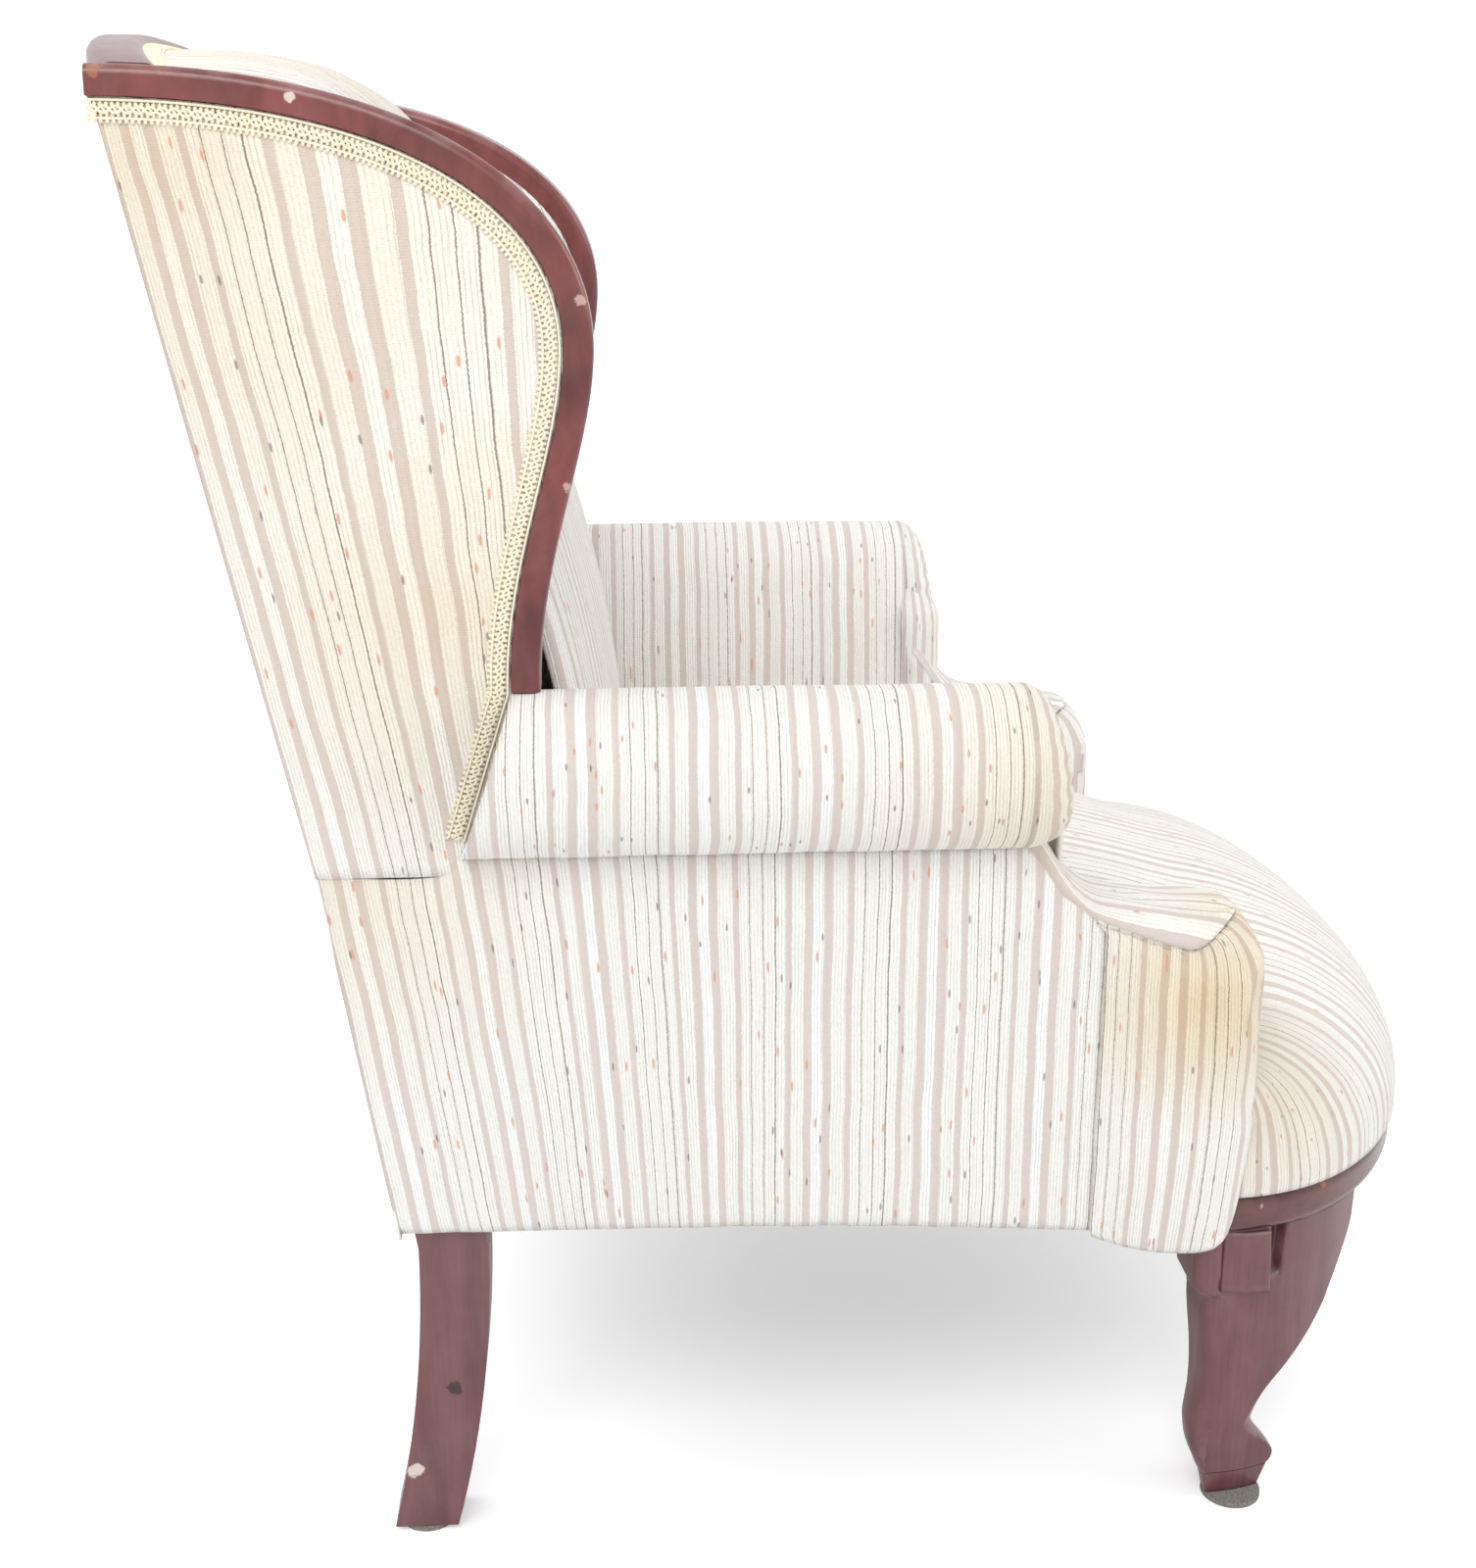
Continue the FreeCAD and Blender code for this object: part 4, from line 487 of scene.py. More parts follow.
# %% [markdown]
# ## Laying cloth
# Every cover starts as a grid of quads from a function of two shares. The UV map called cloth holds the
# stripe measure across and the length along, both in metres. A grid is easy to bend, keeps its measure when
# it is puffed up, and has clean edges for seams.

# %% Cloth helpers
def lerp(a, b, share):
    return a + (b - a) * share


def ease(share):
    share = min(max(share, 0.0), 1.0)
    return share * share * (3 - 2 * share)


def along_points(points, share):
    """A smooth line through (place, value) pairs, read at a share or place."""
    for index in range(len(points) - 1):
        (x0, y0), (x1, y1) = points[index], points[index + 1]
        if share <= x1 or index == len(points) - 2:
            before = points[max(index - 1, 0)]
            after = points[min(index + 2, len(points) - 1)]
            slope0 = (y1 - before[1]) / (x1 - before[0])
            slope1 = (after[1] - y0) / (after[0] - x0)
            width = x1 - x0
            t = (share - x0) / width
            return ((2 * t**3 - 3 * t**2 + 1) * y0 + (t**3 - 2 * t**2 + t) * width * slope0
                    + (3 * t**2 - 2 * t**3) * y1 + (t**3 - t**2) * width * slope1)


class Cover:
    """A cover under the needle: grids are added, joined at their seams, then made into a piece."""

    def __init__(self):
        self.mesh = bmesh.new()
        self.cloth = self.mesh.loops.layers.uv.new("cloth")

    def grid(self, columns, rows, point, measure, keep=None):
        """Quads over shares s and t; point gives the place and measure the cloth's (across, along)."""
        made = []
        for j in range(rows + 1):
            for i in range(columns + 1):
                s, t = i / columns, j / rows
                place = point(s, t)
                made.append((self.mesh.verts.new(place), measure(s, t, place), place))
        for j in range(rows):
            for i in range(columns):
                around = ((j, i), (j, i + 1), (j + 1, i + 1), (j + 1, i))
                corners = [made[a * (columns + 1) + b] for a, b in around]
                centre = sum((place for _, _, place in corners), Vector()) / 4
                if keep and not keep(centre):
                    continue
                face = self.mesh.faces.new([corner[0] for corner in corners])
                face.smooth = True
                for loop, corner in zip(face.loops, corners):
                    loop[self.cloth].uv = corner[1]
        return self

    def piece(self, name, finish, inside=None, join=0.0004):
        """The finished cover as an object; its faces look away from the inside point."""
        bmesh.ops.remove_doubles(self.mesh, verts=self.mesh.verts, dist=join)
        loose = [v for v in self.mesh.verts if not v.link_faces]
        bmesh.ops.delete(self.mesh, geom=loose, context="VERTS")
        if inside is not None:
            self.mesh.normal_update()
            outward = sum(f.normal.dot(f.calc_center_median() - Vector(inside)) * f.calc_area()
                          for f in self.mesh.faces)
            if outward < 0:
                bmesh.ops.reverse_faces(self.mesh, faces=self.mesh.faces)
        data = bpy.data.meshes.new(name)
        self.mesh.to_mesh(data)
        self.mesh.free()
        data.materials.append(finish)
        made = bpy.data.objects.new(name, data)
        scene.collection.objects.link(made)
        return made


def mirrored(piece, name):
    """The same piece on the other side of the chair."""
    mesh = bmesh.new()
    mesh.from_mesh(piece.data)
    for vertex in mesh.verts:
        vertex.co.x *= -1
    bmesh.ops.reverse_faces(mesh, faces=mesh.faces)
    data = bpy.data.meshes.new(name)
    mesh.to_mesh(data)
    mesh.free()
    for finish in piece.data.materials:
        data.materials.append(finish)
    made = bpy.data.objects.new(name, data)
    scene.collection.objects.link(made)
    return made


def thicken(piece, thickness):
    """Gives a cover its thickness, inwards from its face."""
    solid = piece.modifiers.new("thickness", "SOLIDIFY")
    solid.thickness = thickness
    solid.offset = -1
    solid.use_rim = True


def puff(piece, pressure, most, frames=20):
    """Lets stuffing push a tacked cover out: its border stays, and no point moves further than most."""
    tacks = piece.vertex_groups.new(name="tacks")
    edges = bmesh.new()
    edges.from_mesh(piece.data)
    tacks.add([v.index for v in edges.verts if v.is_boundary], 1.0, "REPLACE")
    edges.free()
    rest = [v.co.copy() for v in piece.data.vertices]
    cloth = piece.modifiers.new("cloth", "CLOTH")
    cloth.settings.quality = 6
    cloth.settings.mass = 0.4
    cloth.settings.tension_stiffness = 25
    cloth.settings.compression_stiffness = 25
    cloth.settings.bending_stiffness = 1.5
    cloth.settings.use_pressure = True
    cloth.settings.uniform_pressure_force = pressure
    cloth.settings.effector_weights.gravity = 0
    cloth.settings.vertex_group_mass = "tacks"
    for number in range(1, frames + 1):
        scene.frame_set(number)
    blown = piece.evaluated_get(bpy.context.evaluated_depsgraph_get()).data
    moved = [blown.vertices[i].co - place for i, place in enumerate(rest)]
    piece.modifiers.remove(cloth)
    scene.frame_set(1)
    for vertex, place, way in zip(piece.data.vertices, rest, moved):
        if way.length > most:
            way *= most / way.length
        vertex.co = place + way
    piece.vertex_groups.remove(tacks)
    print(piece.name, "puffed by up to", round(max(way.length for way in moved) * 1000, 1), "mm")


# %% [markdown]
# ## The chair's own lines
# The covers follow the frame, so its main lines are written once: the raked back edge, the wing's plane,
# the curve of the wing rail and the sloping rear end of the arm.

# %% The chair's lines
WAIST = 0.493
REAR_AT_WAIST = 0.31658
LOWER_RAKE, UPPER_RAKE = 0.154, 0.2184
COVER_OUT = 0.009
SIDE_PLANE = 0.300
INNER_HALF = 0.2247
WING_LEAN = math.atan(0.06)
WING_TIP = (0.430, 0.484)
WING_THROAT = (0.145, 0.325)
WING_FOOT = (0.182, 0.1175)
RAIL_FACE = 0.0183
GIMP_WIDTH = 0.014
ARM_REAR_SLOPE = -0.3234


def rear_line(z):
    """The back face of the stiles at a height; the outside back lies COVER_OUT behind it."""
    return REAR_AT_WAIST + (z - WAIST) * (LOWER_RAKE if z < WAIST else UPPER_RAKE)


def on_wing(depth, y, up):
    """A point of the right wing: depth inboard of its outer face, and how far up from the waist."""
    return Vector((
        -SIDE_PLANE + depth * math.cos(WING_LEAN) + up * math.sin(WING_LEAN), y,
        WAIST + up * math.cos(WING_LEAN) - depth * math.sin(WING_LEAN)))


def bezier(points, t):
    a, b, c, d = (Vector(p) for p in points)
    return a * (1 - t)**3 + b * 3 * t * (1 - t)**2 + c * 3 * t * t * (1 - t) + d * t**3


def wing_curve(inset, share):
    """The wing rail's outline, drawn in by an inset: 0 at the rear tip, 0.5 at the throat, 1 at the foot."""
    tip = Vector((WING_TIP[0], WING_TIP[1] - inset))
    throat = Vector((WING_THROAT[0] + inset, WING_THROAT[1]))
    foot = Vector((WING_FOOT[0] + inset, WING_FOOT[1]))
    reach, drop, fall = (tip.x - throat.x) * 0.6, (tip.y - throat.y) * 0.62, throat.y - foot.y
    if share < 0.5:
        return bezier((tip, tip - Vector((reach, 0)), throat + Vector((0, drop)), throat), share * 2)
    leave, arrive = Vector((0, 0.28 * fall)), Vector((0, 0.39 * fall))
    return bezier((throat, throat - leave, foot + arrive, foot), share * 2 - 1)


def arm_rear(z):
    """Where the arm ends against the wing at a height."""
    return 0.200 + (z - 0.6105) * ARM_REAR_SLOPE


# %% [markdown]
# ## Outside wing
# The outside wing is one flat piece of cloth, tacked under the gimp, with stripes that follow the raked
# back edge at the rear and lean less and less towards the front. It could be cut from a plane with
# booleans, but a grid between two edge lines is easier to read and gives even quads.

# %% Outside wings
WING_CALM = 0.10


def leaning(y, z, calm):
    """The stripe measure of a side: stripes run with the raked back edge, and upright from calm forward."""
    rear = rear_line(z)
    tilt = ease((y - calm) / (rear - calm))
    return y - (rear - REAR_AT_WAIST) * tilt


def wing_front(t):
    """The front edge of the outside wing: along the rail, then down the rear end of the arm."""
    if t < 0.8:
        edge = wing_curve(RAIL_FACE, t / 0.8)
        return edge.x, edge.y
    up = lerp(WING_FOOT[1], 0.0, (t - 0.8) / 0.2)
    return arm_rear(WAIST + up) - 0.010 * ease((WING_FOOT[1] - up) / 0.01), up


def outside_wing(s, t):
    front, up = wing_front(t)
    rear_up = lerp(WING_TIP[1] - RAIL_FACE, 0.0, t)
    rear = rear_line(WAIST + rear_up) + COVER_OUT
    swell = 0.0022 * math.sin(math.pi * s) * math.sin(math.pi * min(t * 1.1, 1))
    ripple = 0.0006 * noise.noise(Vector((s * 9, t * 3, 0.5)))
    return on_wing(-swell - ripple, lerp(rear, front, s), lerp(rear_up, up, s))


wing = Cover()
wing.grid(44, 60, outside_wing, lambda s, t, p: (leaning(p.y, p.z, WING_CALM), p.z))
wing_outside = wing.piece("outside_wing_cover_right_cloth", wing_cloth, inside=(0, 0.3, 0.7))
print("outside wing of", len(wing_outside.data.polygons), "quads")

# %% [markdown]
# ## Outside arm
# Below the waist seam one piece of cloth covers the side from the back edge to the front post. Its lower
# edge is turned under and hangs a little uneven, and its top is tucked beneath the arm roll.

# %% Outside arms
POST_BACK = -0.172
SIDE_FRONT = POST_BACK - 0.008
SIDE_CALM = 0.0
SIDE_TUCK = 0.5065
SIDE_FOOT = [(-0.180, 0.2265), (-0.171, 0.227), (-0.104, 0.231), (0.029, 0.237), (0.285, 0.240)]
SIDE_TOP = [(-0.180, 0.449), (-0.166, 0.459), (-0.146, 0.482), (-0.128, 0.506), (0.236, 0.507),
            (0.243, 0.4935), (0.33, 0.4935)]


def outside_arm(s, t):
    y_waist = lerp(SIDE_FRONT, REAR_AT_WAIST + COVER_OUT, s)
    low = along_points(SIDE_FOOT, min(y_waist, 0.285))
    high = along_points(SIDE_TOP, y_waist) if not -0.128 < y_waist < 0.236 else SIDE_TUCK
    z = lerp(low + 0.0008 * noise.noise(Vector((y_waist * 40, 0, 0))), high, t)
    y = lerp(SIDE_FRONT, rear_line(z) + COVER_OUT, s)
    swell = 0.003 * math.sin(math.pi * s) ** 0.5 * math.sin(math.pi * t) ** 0.7
    ripple = 0.0009 * noise.noise(Vector((y * 26, z * 5, 0.2)))
    turn = 0.003 * ease(1 - t / 0.03)
    return Vector((-SIDE_PLANE - swell - ripple + turn, y, z))


side = Cover()
side.grid(72, 40, outside_arm, lambda s, t, p: (leaning(p.y, p.z, SIDE_CALM), p.z))
side_outside = side.piece("outside_arm_cover_right_cloth", side_cloth, inside=(0, 0.1, 0.36))
print("outside arm of", len(side_outside.data.polygons), "quads")

# %% [markdown]
# ## The arm
# The arm is a padded roll. Its cover starts under the roll outside, goes over it and down the inside of the
# arm to the seat, so the stripes run round the roll. The front of the roll is drawn round like a dome. From
# under the dome a separate tongue sweeps down over the front post, with its stripes lengthways.

# %% Arms
ROLL = Vector((-0.2915, 0.0, 0.557))
ROLL_RADIUS = 0.0525
ROLL_SHOULDER = -0.120
ROLL_SLANT = 0.16
ROLL_NOSE = 0.026
ROLL_DISC = 0.024
INNER_FACE = 0.2255
ROLL_START, ROLL_END = math.radians(-100), math.radians(-460)
ROLL_LEAVE = math.radians(38)
ROLL_SHARE = 0.66
ROLL_CLOTH = 0.33
PUCKERS = 17
ARM_LOW = 0.44


def arm_profile(share):
    """The arm's outline seen from the front, from under the roll outside to the seat inside, as (x, z)."""
    if share < ROLL_SHARE:
        angle = lerp(ROLL_START, math.radians(-360) + ROLL_LEAVE, share / ROLL_SHARE)
        return ROLL.x + ROLL_RADIUS * math.cos(angle), ROLL.z + ROLL_RADIUS * math.sin(angle)
    start = Vector((ROLL.x + ROLL_RADIUS * math.cos(ROLL_LEAVE), ROLL.z + ROLL_RADIUS * math.sin(ROLL_LEAVE)))
    down = (share - ROLL_SHARE) / (1 - ROLL_SHARE)
    steep = Vector((math.sin(ROLL_LEAVE), -math.cos(ROLL_LEAVE))) * 0.035
    end = Vector((-INNER_FACE, 0.395))
    there = bezier((start, start + steep, (-INNER_FACE + 0.0005, 0.53), end), down)
    return there.x, there.y


def arm_length(share, samples=200):
    """How much cloth the profile has used up to a share."""
    used, last = 0.0, arm_profile(0)
    for step in range(1, max(int(share * samples), 1) + 1):
        here = arm_profile(step / samples)
        used += math.dist(here, last)
        last = here
    return used if share > 0 else 0.0


def arm_body(s, t):
    x, z = arm_profile(t)
    rear = arm_rear(max(z, ARM_LOW))
    y = lerp(rear, ROLL_SHOULDER, s)
    ripple = 0.0012 * noise.noise(Vector((y * 22, t * 4, 2.0))) * math.sin(math.pi * min(s, 1))
    outward = Vector((x - ROLL.x, 0, z - ROLL.z))
    return Vector((x, y, z)) + outward.normalized() * ripple


def arm_nose(s, t):
    """The rounded front of the roll: s goes from the shoulder to the disc, t once round."""
    angle = lerp(ROLL_START, ROLL_END, t)
    bend = s * math.pi / 2
    radius = ROLL_DISC + (ROLL_RADIUS - ROLL_DISC) * math.cos(bend)
    y = ROLL_SHOULDER - ROLL_NOSE * math.sin(bend)
    pucker = 0.0010 * math.sin(angle * PUCKERS) * s - ROLL_SLANT * radius * math.sin(angle) * math.sin(bend)
    return Vector((ROLL.x + radius * math.cos(angle), y - pucker, ROLL.z + radius * math.sin(angle)))


def arm_disc(s, t):
    """The gathered end of the roll inside the dome."""
    angle = lerp(ROLL_START, ROLL_END, t)
    radius = ROLL_DISC * (1 - s) + 0.0008
    y = ROLL_SHOULDER - ROLL_NOSE + 0.0015 * math.sin(math.pi * s) - 0.001 * s
    pucker = 0.0014 * math.sin(angle * PUCKERS) * math.sin(math.pi * min(1.0, s + 0.15)) ** 0.5
    pucker -= ROLL_SLANT * radius * math.sin(angle)
    return Vector((ROLL.x + radius * math.cos(angle), y - pucker, ROLL.z + radius * math.sin(angle)))


TONGUE_CROWN = [(-0.290, 0.418), (-0.2865, 0.428), (-0.281, 0.4375), (-0.270, 0.4475), (-0.257, 0.453),
                (-0.200, 0.458), (-0.170, 0.464), (-0.150, 0.482), (-0.134, 0.508), (-0.122, 0.520)]
TONGUE_EDGE = [(-0.290, 0.404), (-0.270, 0.407), (-0.239, 0.411), (-0.192, 0.437), (-0.166, 0.451),
               (-0.146, 0.474), (-0.128, 0.500), (-0.118, 0.508)]
POST_MIDDLE = -(SIDE_PLANE + INNER_HALF) / 2
SCOOP = -0.150
CAP_POWER = 2.4
TIP_LINE, TIP_REACH, TIP_HALF = -0.232, 0.038, 0.93


def post_half(y):
    """Half the width of the padded post, a little wider than the arm behind it."""
    return (SIDE_PLANE - INNER_HALF) / 2 + 0.0035 * ease((SCOOP - y) / 0.03)


def post_cap(side, y, lift=0.0):
    """The arched top over scoop and post: side runs from -1 outside to 1 inside."""
    height = max(1 - abs(side) ** CAP_POWER, 0.0) ** (1 / CAP_POWER)
    z = lerp(along_points(TONGUE_EDGE, y), along_points(TONGUE_CROWN, y), height)
    return Vector((POST_MIDDLE + side * post_half(y), y, z + lift))


def tongue(s, t):
    """The strip over scoop and post, s across from outside to inside, t from the roll to its rounded tip."""
    y = lerp(-0.124, TIP_LINE - TIP_REACH, t)
    past = max(TIP_LINE - y, 0) / TIP_REACH
    reach = TIP_HALF * max(1 - past ** 2, 0.0) ** 0.5
    side = (2 * s - 1) * lerp(1.0, reach, ease((SCOOP - y) / 0.02))
    dip = 0.0014 * ease((abs(2 * s - 1) - 0.86) / 0.14) * ease((SCOOP - y) / 0.02)
    wave = 0.0006 * math.sin(2 * math.pi * s * 3.0 + 9 * t)
    return post_cap(side, y, wave - dip)


def inner_gusset(s, t):
    """The inside of the arm in front of the roll, below the tongue's inner edge."""
    y = lerp(ROLL_SHOULDER, -0.284, s)
    return Vector((-INNER_FACE, y, lerp(0.392, along_points(TONGUE_EDGE, y) + 0.004, t)))


def outer_gusset(s, t):
    """The same on the outside, behind the notch between the roll and the side cover."""
    y = lerp(ROLL_SHOULDER + 0.020, -0.186, s)
    return Vector((-SIDE_PLANE + 0.0045, y, lerp(0.400, along_points(TONGUE_EDGE, y) + 0.003, t)))


def arm_cheek(s, t):
    """The rounded corner that joins the roll's front to the inside of the arm."""
    turn = s * math.pi / 2
    top = ease((t - 0.55) / 0.45)
    x = -INNER_FACE - 0.040 * (1 - math.cos(turn)) - 0.030 * top
    y = ROLL_SHOULDER + 0.004 - 0.036 * math.sin(turn) * (1 - 0.75 * top)
    return Vector((x, y, lerp(0.450, 0.588, t)))


arm = Cover()
whole_profile = arm_length(1.0)
arm.grid(12, 16, arm_cheek, lambda s, t, p: (p.y - 0.03 * s, p.z))
arm.grid(60, 64, arm_body, lambda s, t, p: (p.y, whole_profile * t))
nose_cloth = math.pi / 2 * ROLL_NOSE
arm.grid(10, 72, arm_nose, lambda s, t, p: (ROLL_SHOULDER - nose_cloth * s, ROLL_CLOTH * t))
arm.grid(6, 72, arm_disc, lambda s, t, p: (ROLL_SHOULDER - nose_cloth - ROLL_DISC * s, ROLL_CLOTH * t))
arm.grid(36, 64, tongue, lambda s, t, p: (0.094 * (p.x - POST_MIDDLE) / 0.078 + 0.060, 0.22 * t))
arm.grid(16, 10, inner_gusset, lambda s, t, p: (p.y, p.z))
arm.grid(16, 10, outer_gusset, lambda s, t, p: (p.y, p.z))
arm_piece = arm.piece("arm_cover_right_cloth", arm_cloth, inside=(-0.2915, 0.05, 0.50))
print("arm cover uses", round(whole_profile, 3), "m of cloth round the roll")

# %% [markdown]
# ## The front post
# The post facing is one strip of cloth that goes round the post from its outside over its front to its
# inside. It is padded, so it stands proud of the side cover and leaves a dark seam between them.

# %% Post facings
POST_FRONT = -0.2865
POST_CORNER = 0.012
POST_WALL = 0.84
POST_LEAN, POST_LEAN_BELOW = 0.088, 0.30
POST_CENTRE = Vector((POST_MIDDLE, -0.235, 0))
STRIP_CLOTH, STRIP_START = 0.300, 0.031
POST_FOOT = [(0.0, 0.2262), (0.17, 0.217), (0.30, 0.212), (0.44, 0.209), (0.62, 0.2095), (0.70, 0.2165),
             (0.78, 0.2465), (1.0, 0.2465), (1.28, 0.2465), (1.6, 0.2465), (2.0, 0.2465)]


def post_plan(share, front):
    """The strip seen from above: a share from 0 outside at the rear, 1 at the front, 2 inside at the rear."""
    share, flip = (share, 1) if share <= 1 else (2 - share, -1)
    half = post_half(-0.2)
    side_run = POST_BACK - front - POST_CORNER
    turn = math.pi / 2 * POST_CORNER
    across_run = half - POST_CORNER
    walked = share * (side_run + turn + across_run)
    if walked < side_run:
        out, y = half, POST_BACK - walked
    elif walked < side_run + turn:
        angle = (walked - side_run) / POST_CORNER
        out = half - POST_CORNER + POST_CORNER * math.cos(angle)
        y = front + POST_CORNER - POST_CORNER * math.sin(angle)
    else:
        out, y = half - POST_CORNER - (walked - side_run - turn), front
    return POST_MIDDLE - flip * out, y


def tongue_outline(share):
    """Where the strip's top edge is sewn to the tongue, as side and y."""
    _, y = post_plan(share, POST_FRONT)
    if y > TIP_LINE:
        return (-TIP_HALF if share < 1 else TIP_HALF), y
    start = (POST_BACK - TIP_LINE) / (POST_BACK - POST_FRONT - POST_CORNER + math.pi / 2 * POST_CORNER
                                      + post_half(-0.2) - POST_CORNER)
    angle = math.pi * (share - start) / (2 - 2 * start)
    return -TIP_HALF * math.cos(angle), TIP_LINE - TIP_REACH * math.sin(angle)


def post_rim(share):
    """The top of the strip's upright part, as side and y, with its place."""
    x, y = post_plan(share, POST_FRONT)
    side = max(min((x - POST_MIDDLE) / post_half(y), 1.0), -1.0)
    return side, y, post_cap(side, y)


def post_skin(s, t):
    share = 2 * s
    side, rim_y, rim = post_rim(share)
    if t > POST_WALL:
        over = (t - POST_WALL) / (1 - POST_WALL)
        seam_side, seam_y = tongue_outline(share)
        bulge = 0.0024 * math.sin(math.pi * over) - 0.0010 * over ** 3
        gathers = 0.0007 * math.sin(share * 95) * over
        return post_cap(lerp(side, seam_side, over), lerp(rim_y, seam_y, over), bulge + gathers)
    low = along_points(POST_FOOT, share)
    up = t / POST_WALL
    z = lerp(low, rim.z, up)
    front = POST_FRONT + POST_LEAN * max(POST_LEAN_BELOW - z, 0)
    x, y = post_plan(share, front)
    inwards = (POST_CENTRE - Vector((x, y, 0))).normalized()
    tuck = 0.003 * ease((0.02 - up) / 0.02)
    hem = 0.007 * ease((0.045 - min(share, 2 - share)) / 0.045)
    ripple = 0.0009 * noise.noise(Vector((share * 6, z * 12, 4.0)))
    bulge = -0.0016 * math.sin(math.pi * min(share, 2 - share)) * math.sin(math.pi * up) ** 0.6
    return Vector((x, y, z)) + inwards * (tuck + hem + ripple + bulge)


def post_measure(s, t, place):
    """The strip's stripes stand upright and go over the rim to the seam."""
    along = place.z if t <= POST_WALL else post_rim(2 * s)[2].z + 0.14 * (t - POST_WALL)
    return STRIP_CLOTH * s + STRIP_START, along


post = Cover()
post.grid(110, 56, post_skin, post_measure)
post_piece = post.piece("post_facing_right_cloth", post_cloth, inside=(-0.262, -0.235, 0.33))
print("post facing of", len(post_piece.data.polygons), "quads")

# %% [markdown]
# ## The seat
# A tight seat, crowned in the middle, that rolls over the bowed front. The stripes run from back to front
# and over the edge. At the posts the cloth is gathered into the corner and fans down to the show rail, so
# the columns of the front part start close together there and spread.

# %% Seat
BOW_HALF, BOW_REACH, BOW_LINE = 0.2935, 0.1975, -0.275
SEAT_FRONT = -0.284
RAIL_TOP = 0.2455
SEAT_REAR = 0.232
SEAT_EDGE, EDGE_FALL, POST_EDGE, CORNER_EDGE = 0.408, 0.044, 0.364, 0.322
RIM_HALF = 0.386
GATHERED = 0.40
SEAT_CROWN = [(-0.284, 0.408), (-0.224, 0.425), (-0.142, 0.437), (0.0, 0.441), (0.137, 0.436), (0.232, 0.434)]
SEAT_FALL = [(-0.284, 0.044), (-0.142, 0.030), (0.0, 0.017), (0.137, 0.004), (0.232, 0.003)]


def bow_point(arc):
    """A point of the seat's rim on the bowed rail, by its distance round from the front."""
    used, last, angle = 0.0, Vector((0, BOW_LINE - BOW_REACH)), 0.0
    while used < abs(arc) and angle < math.pi / 2:
        angle += 0.01
        here = Vector((BOW_HALF * math.sin(angle), BOW_LINE - BOW_REACH * math.cos(angle)))
        used += (here - last).length
        last = here
    return Vector((math.copysign(last.x, arc), min(last.y, SEAT_FRONT + 0.004)))


def seat_top(s, t):
    x = lerp(-INNER_HALF, INNER_HALF, s)
    y = lerp(SEAT_REAR, SEAT_FRONT, t)
    crown, fall = along_points(SEAT_CROWN, y), along_points(SEAT_FALL, y)
    tuck = 0.004 * ease((abs(x) / INNER_HALF - 0.96) / 0.04) + 0.006 * ease(1 - t / 0.04)
    return Vector((x, y, crown - fall * (x / INNER_HALF) ** 2 - tuck))


def front_start(across):
    """Where a column of the front part starts: across the seat, then gathered before the post."""
    if abs(across) <= INNER_HALF:
        x = across
    else:
        x = math.copysign(INNER_HALF + (abs(across) - INNER_HALF) * GATHERED, across)
    share = abs(x) / INNER_HALF
    if share < 1:
        z = SEAT_EDGE - EDGE_FALL * share ** 2
    else:
        z = lerp(POST_EDGE, CORNER_EDGE, ((share - 1) / 0.29) ** 0.8)
    return Vector((x, SEAT_FRONT, z))


def seat_front(s, t):
    across = lerp(-RIM_HALF, RIM_HALF, s)
    start = front_start(across)
    rim = bow_point(across)
    end = Vector((rim.x, rim.y, RAIL_TOP))
    way = Vector((end.x - start.x, end.y - start.y, 0))
    height = start.z - RAIL_TOP
    full = ease(abs(across) / INNER_HALF)
    first = start + way * lerp(0.40, 0.56, full) - Vector((0, 0, height * lerp(0.06, 0.02, full)))
    second = start + way * lerp(0.99, 1.03, full) - Vector((0, 0, height * lerp(0.42, 0.48, full)))
    corner = ease((abs(across) - 0.25) / 0.08)
    gathers = 0.0012 * math.sin(abs(across) * 260) * corner * math.sin(math.pi * t) ** 0.5
    place = bezier((start, first, second, end), t)
    return place + way.normalized() * gathers if way.length > 0.01 else place


seat = Cover()
seat.grid(56, 56, seat_top, lambda s, t, p: (p.x, p.y))
seat.grid(96, 40, seat_front, lambda s, t, p: (lerp(-RIM_HALF, RIM_HALF, s), SEAT_FRONT - 0.25 * t))
seat_piece = seat.piece("seat_cover_cloth", seat_cloth, inside=(0, -0.1, 0.25), join=0.0022)
print("seat cover of", len(seat_piece.data.polygons), "quads")

# %% [markdown]
# ## The inside back
# A tall cushion, upright over the seat, then leaning back and rolling over in front of the crest rail.

# %% Inside back
CREST_HALF = 0.240
CREST_REAR, CREST_DEPTH, CREST_BOW = 0.428, 0.035, 0.045
CREST_TOP, CREST_ARCH = 1.003, 0.026


def back_line(x, share):
    """The front of the inside back at a distance across the chair, from the seat up to the crest."""
    side = (x / INNER_HALF) ** 2
    drop = 0.020 * side
    crest = (x / CREST_HALF) ** 2
    points = [
        (0.125 + drop, 0.436), (0.140 + drop, 0.575), (0.166 + drop, 0.679), (0.216 + drop, 0.814),
        (0.284 + drop * 0.6, 0.960 - 0.006 * side), (0.346 + drop * 0.2, 0.986 - 0.014 * side),
        (CREST_REAR - CREST_DEPTH + CREST_BOW * (1 - crest) - 0.0005, CREST_TOP - CREST_ARCH * crest - 0.010)]
    places = [0.0, 0.22, 0.38, 0.60, 0.83, 0.92, 1.0]
    return (along_points([(p, y) for p, (y, z) in zip(places, points)], share),
            along_points([(p, z) for p, (y, z) in zip(places, points)], share))


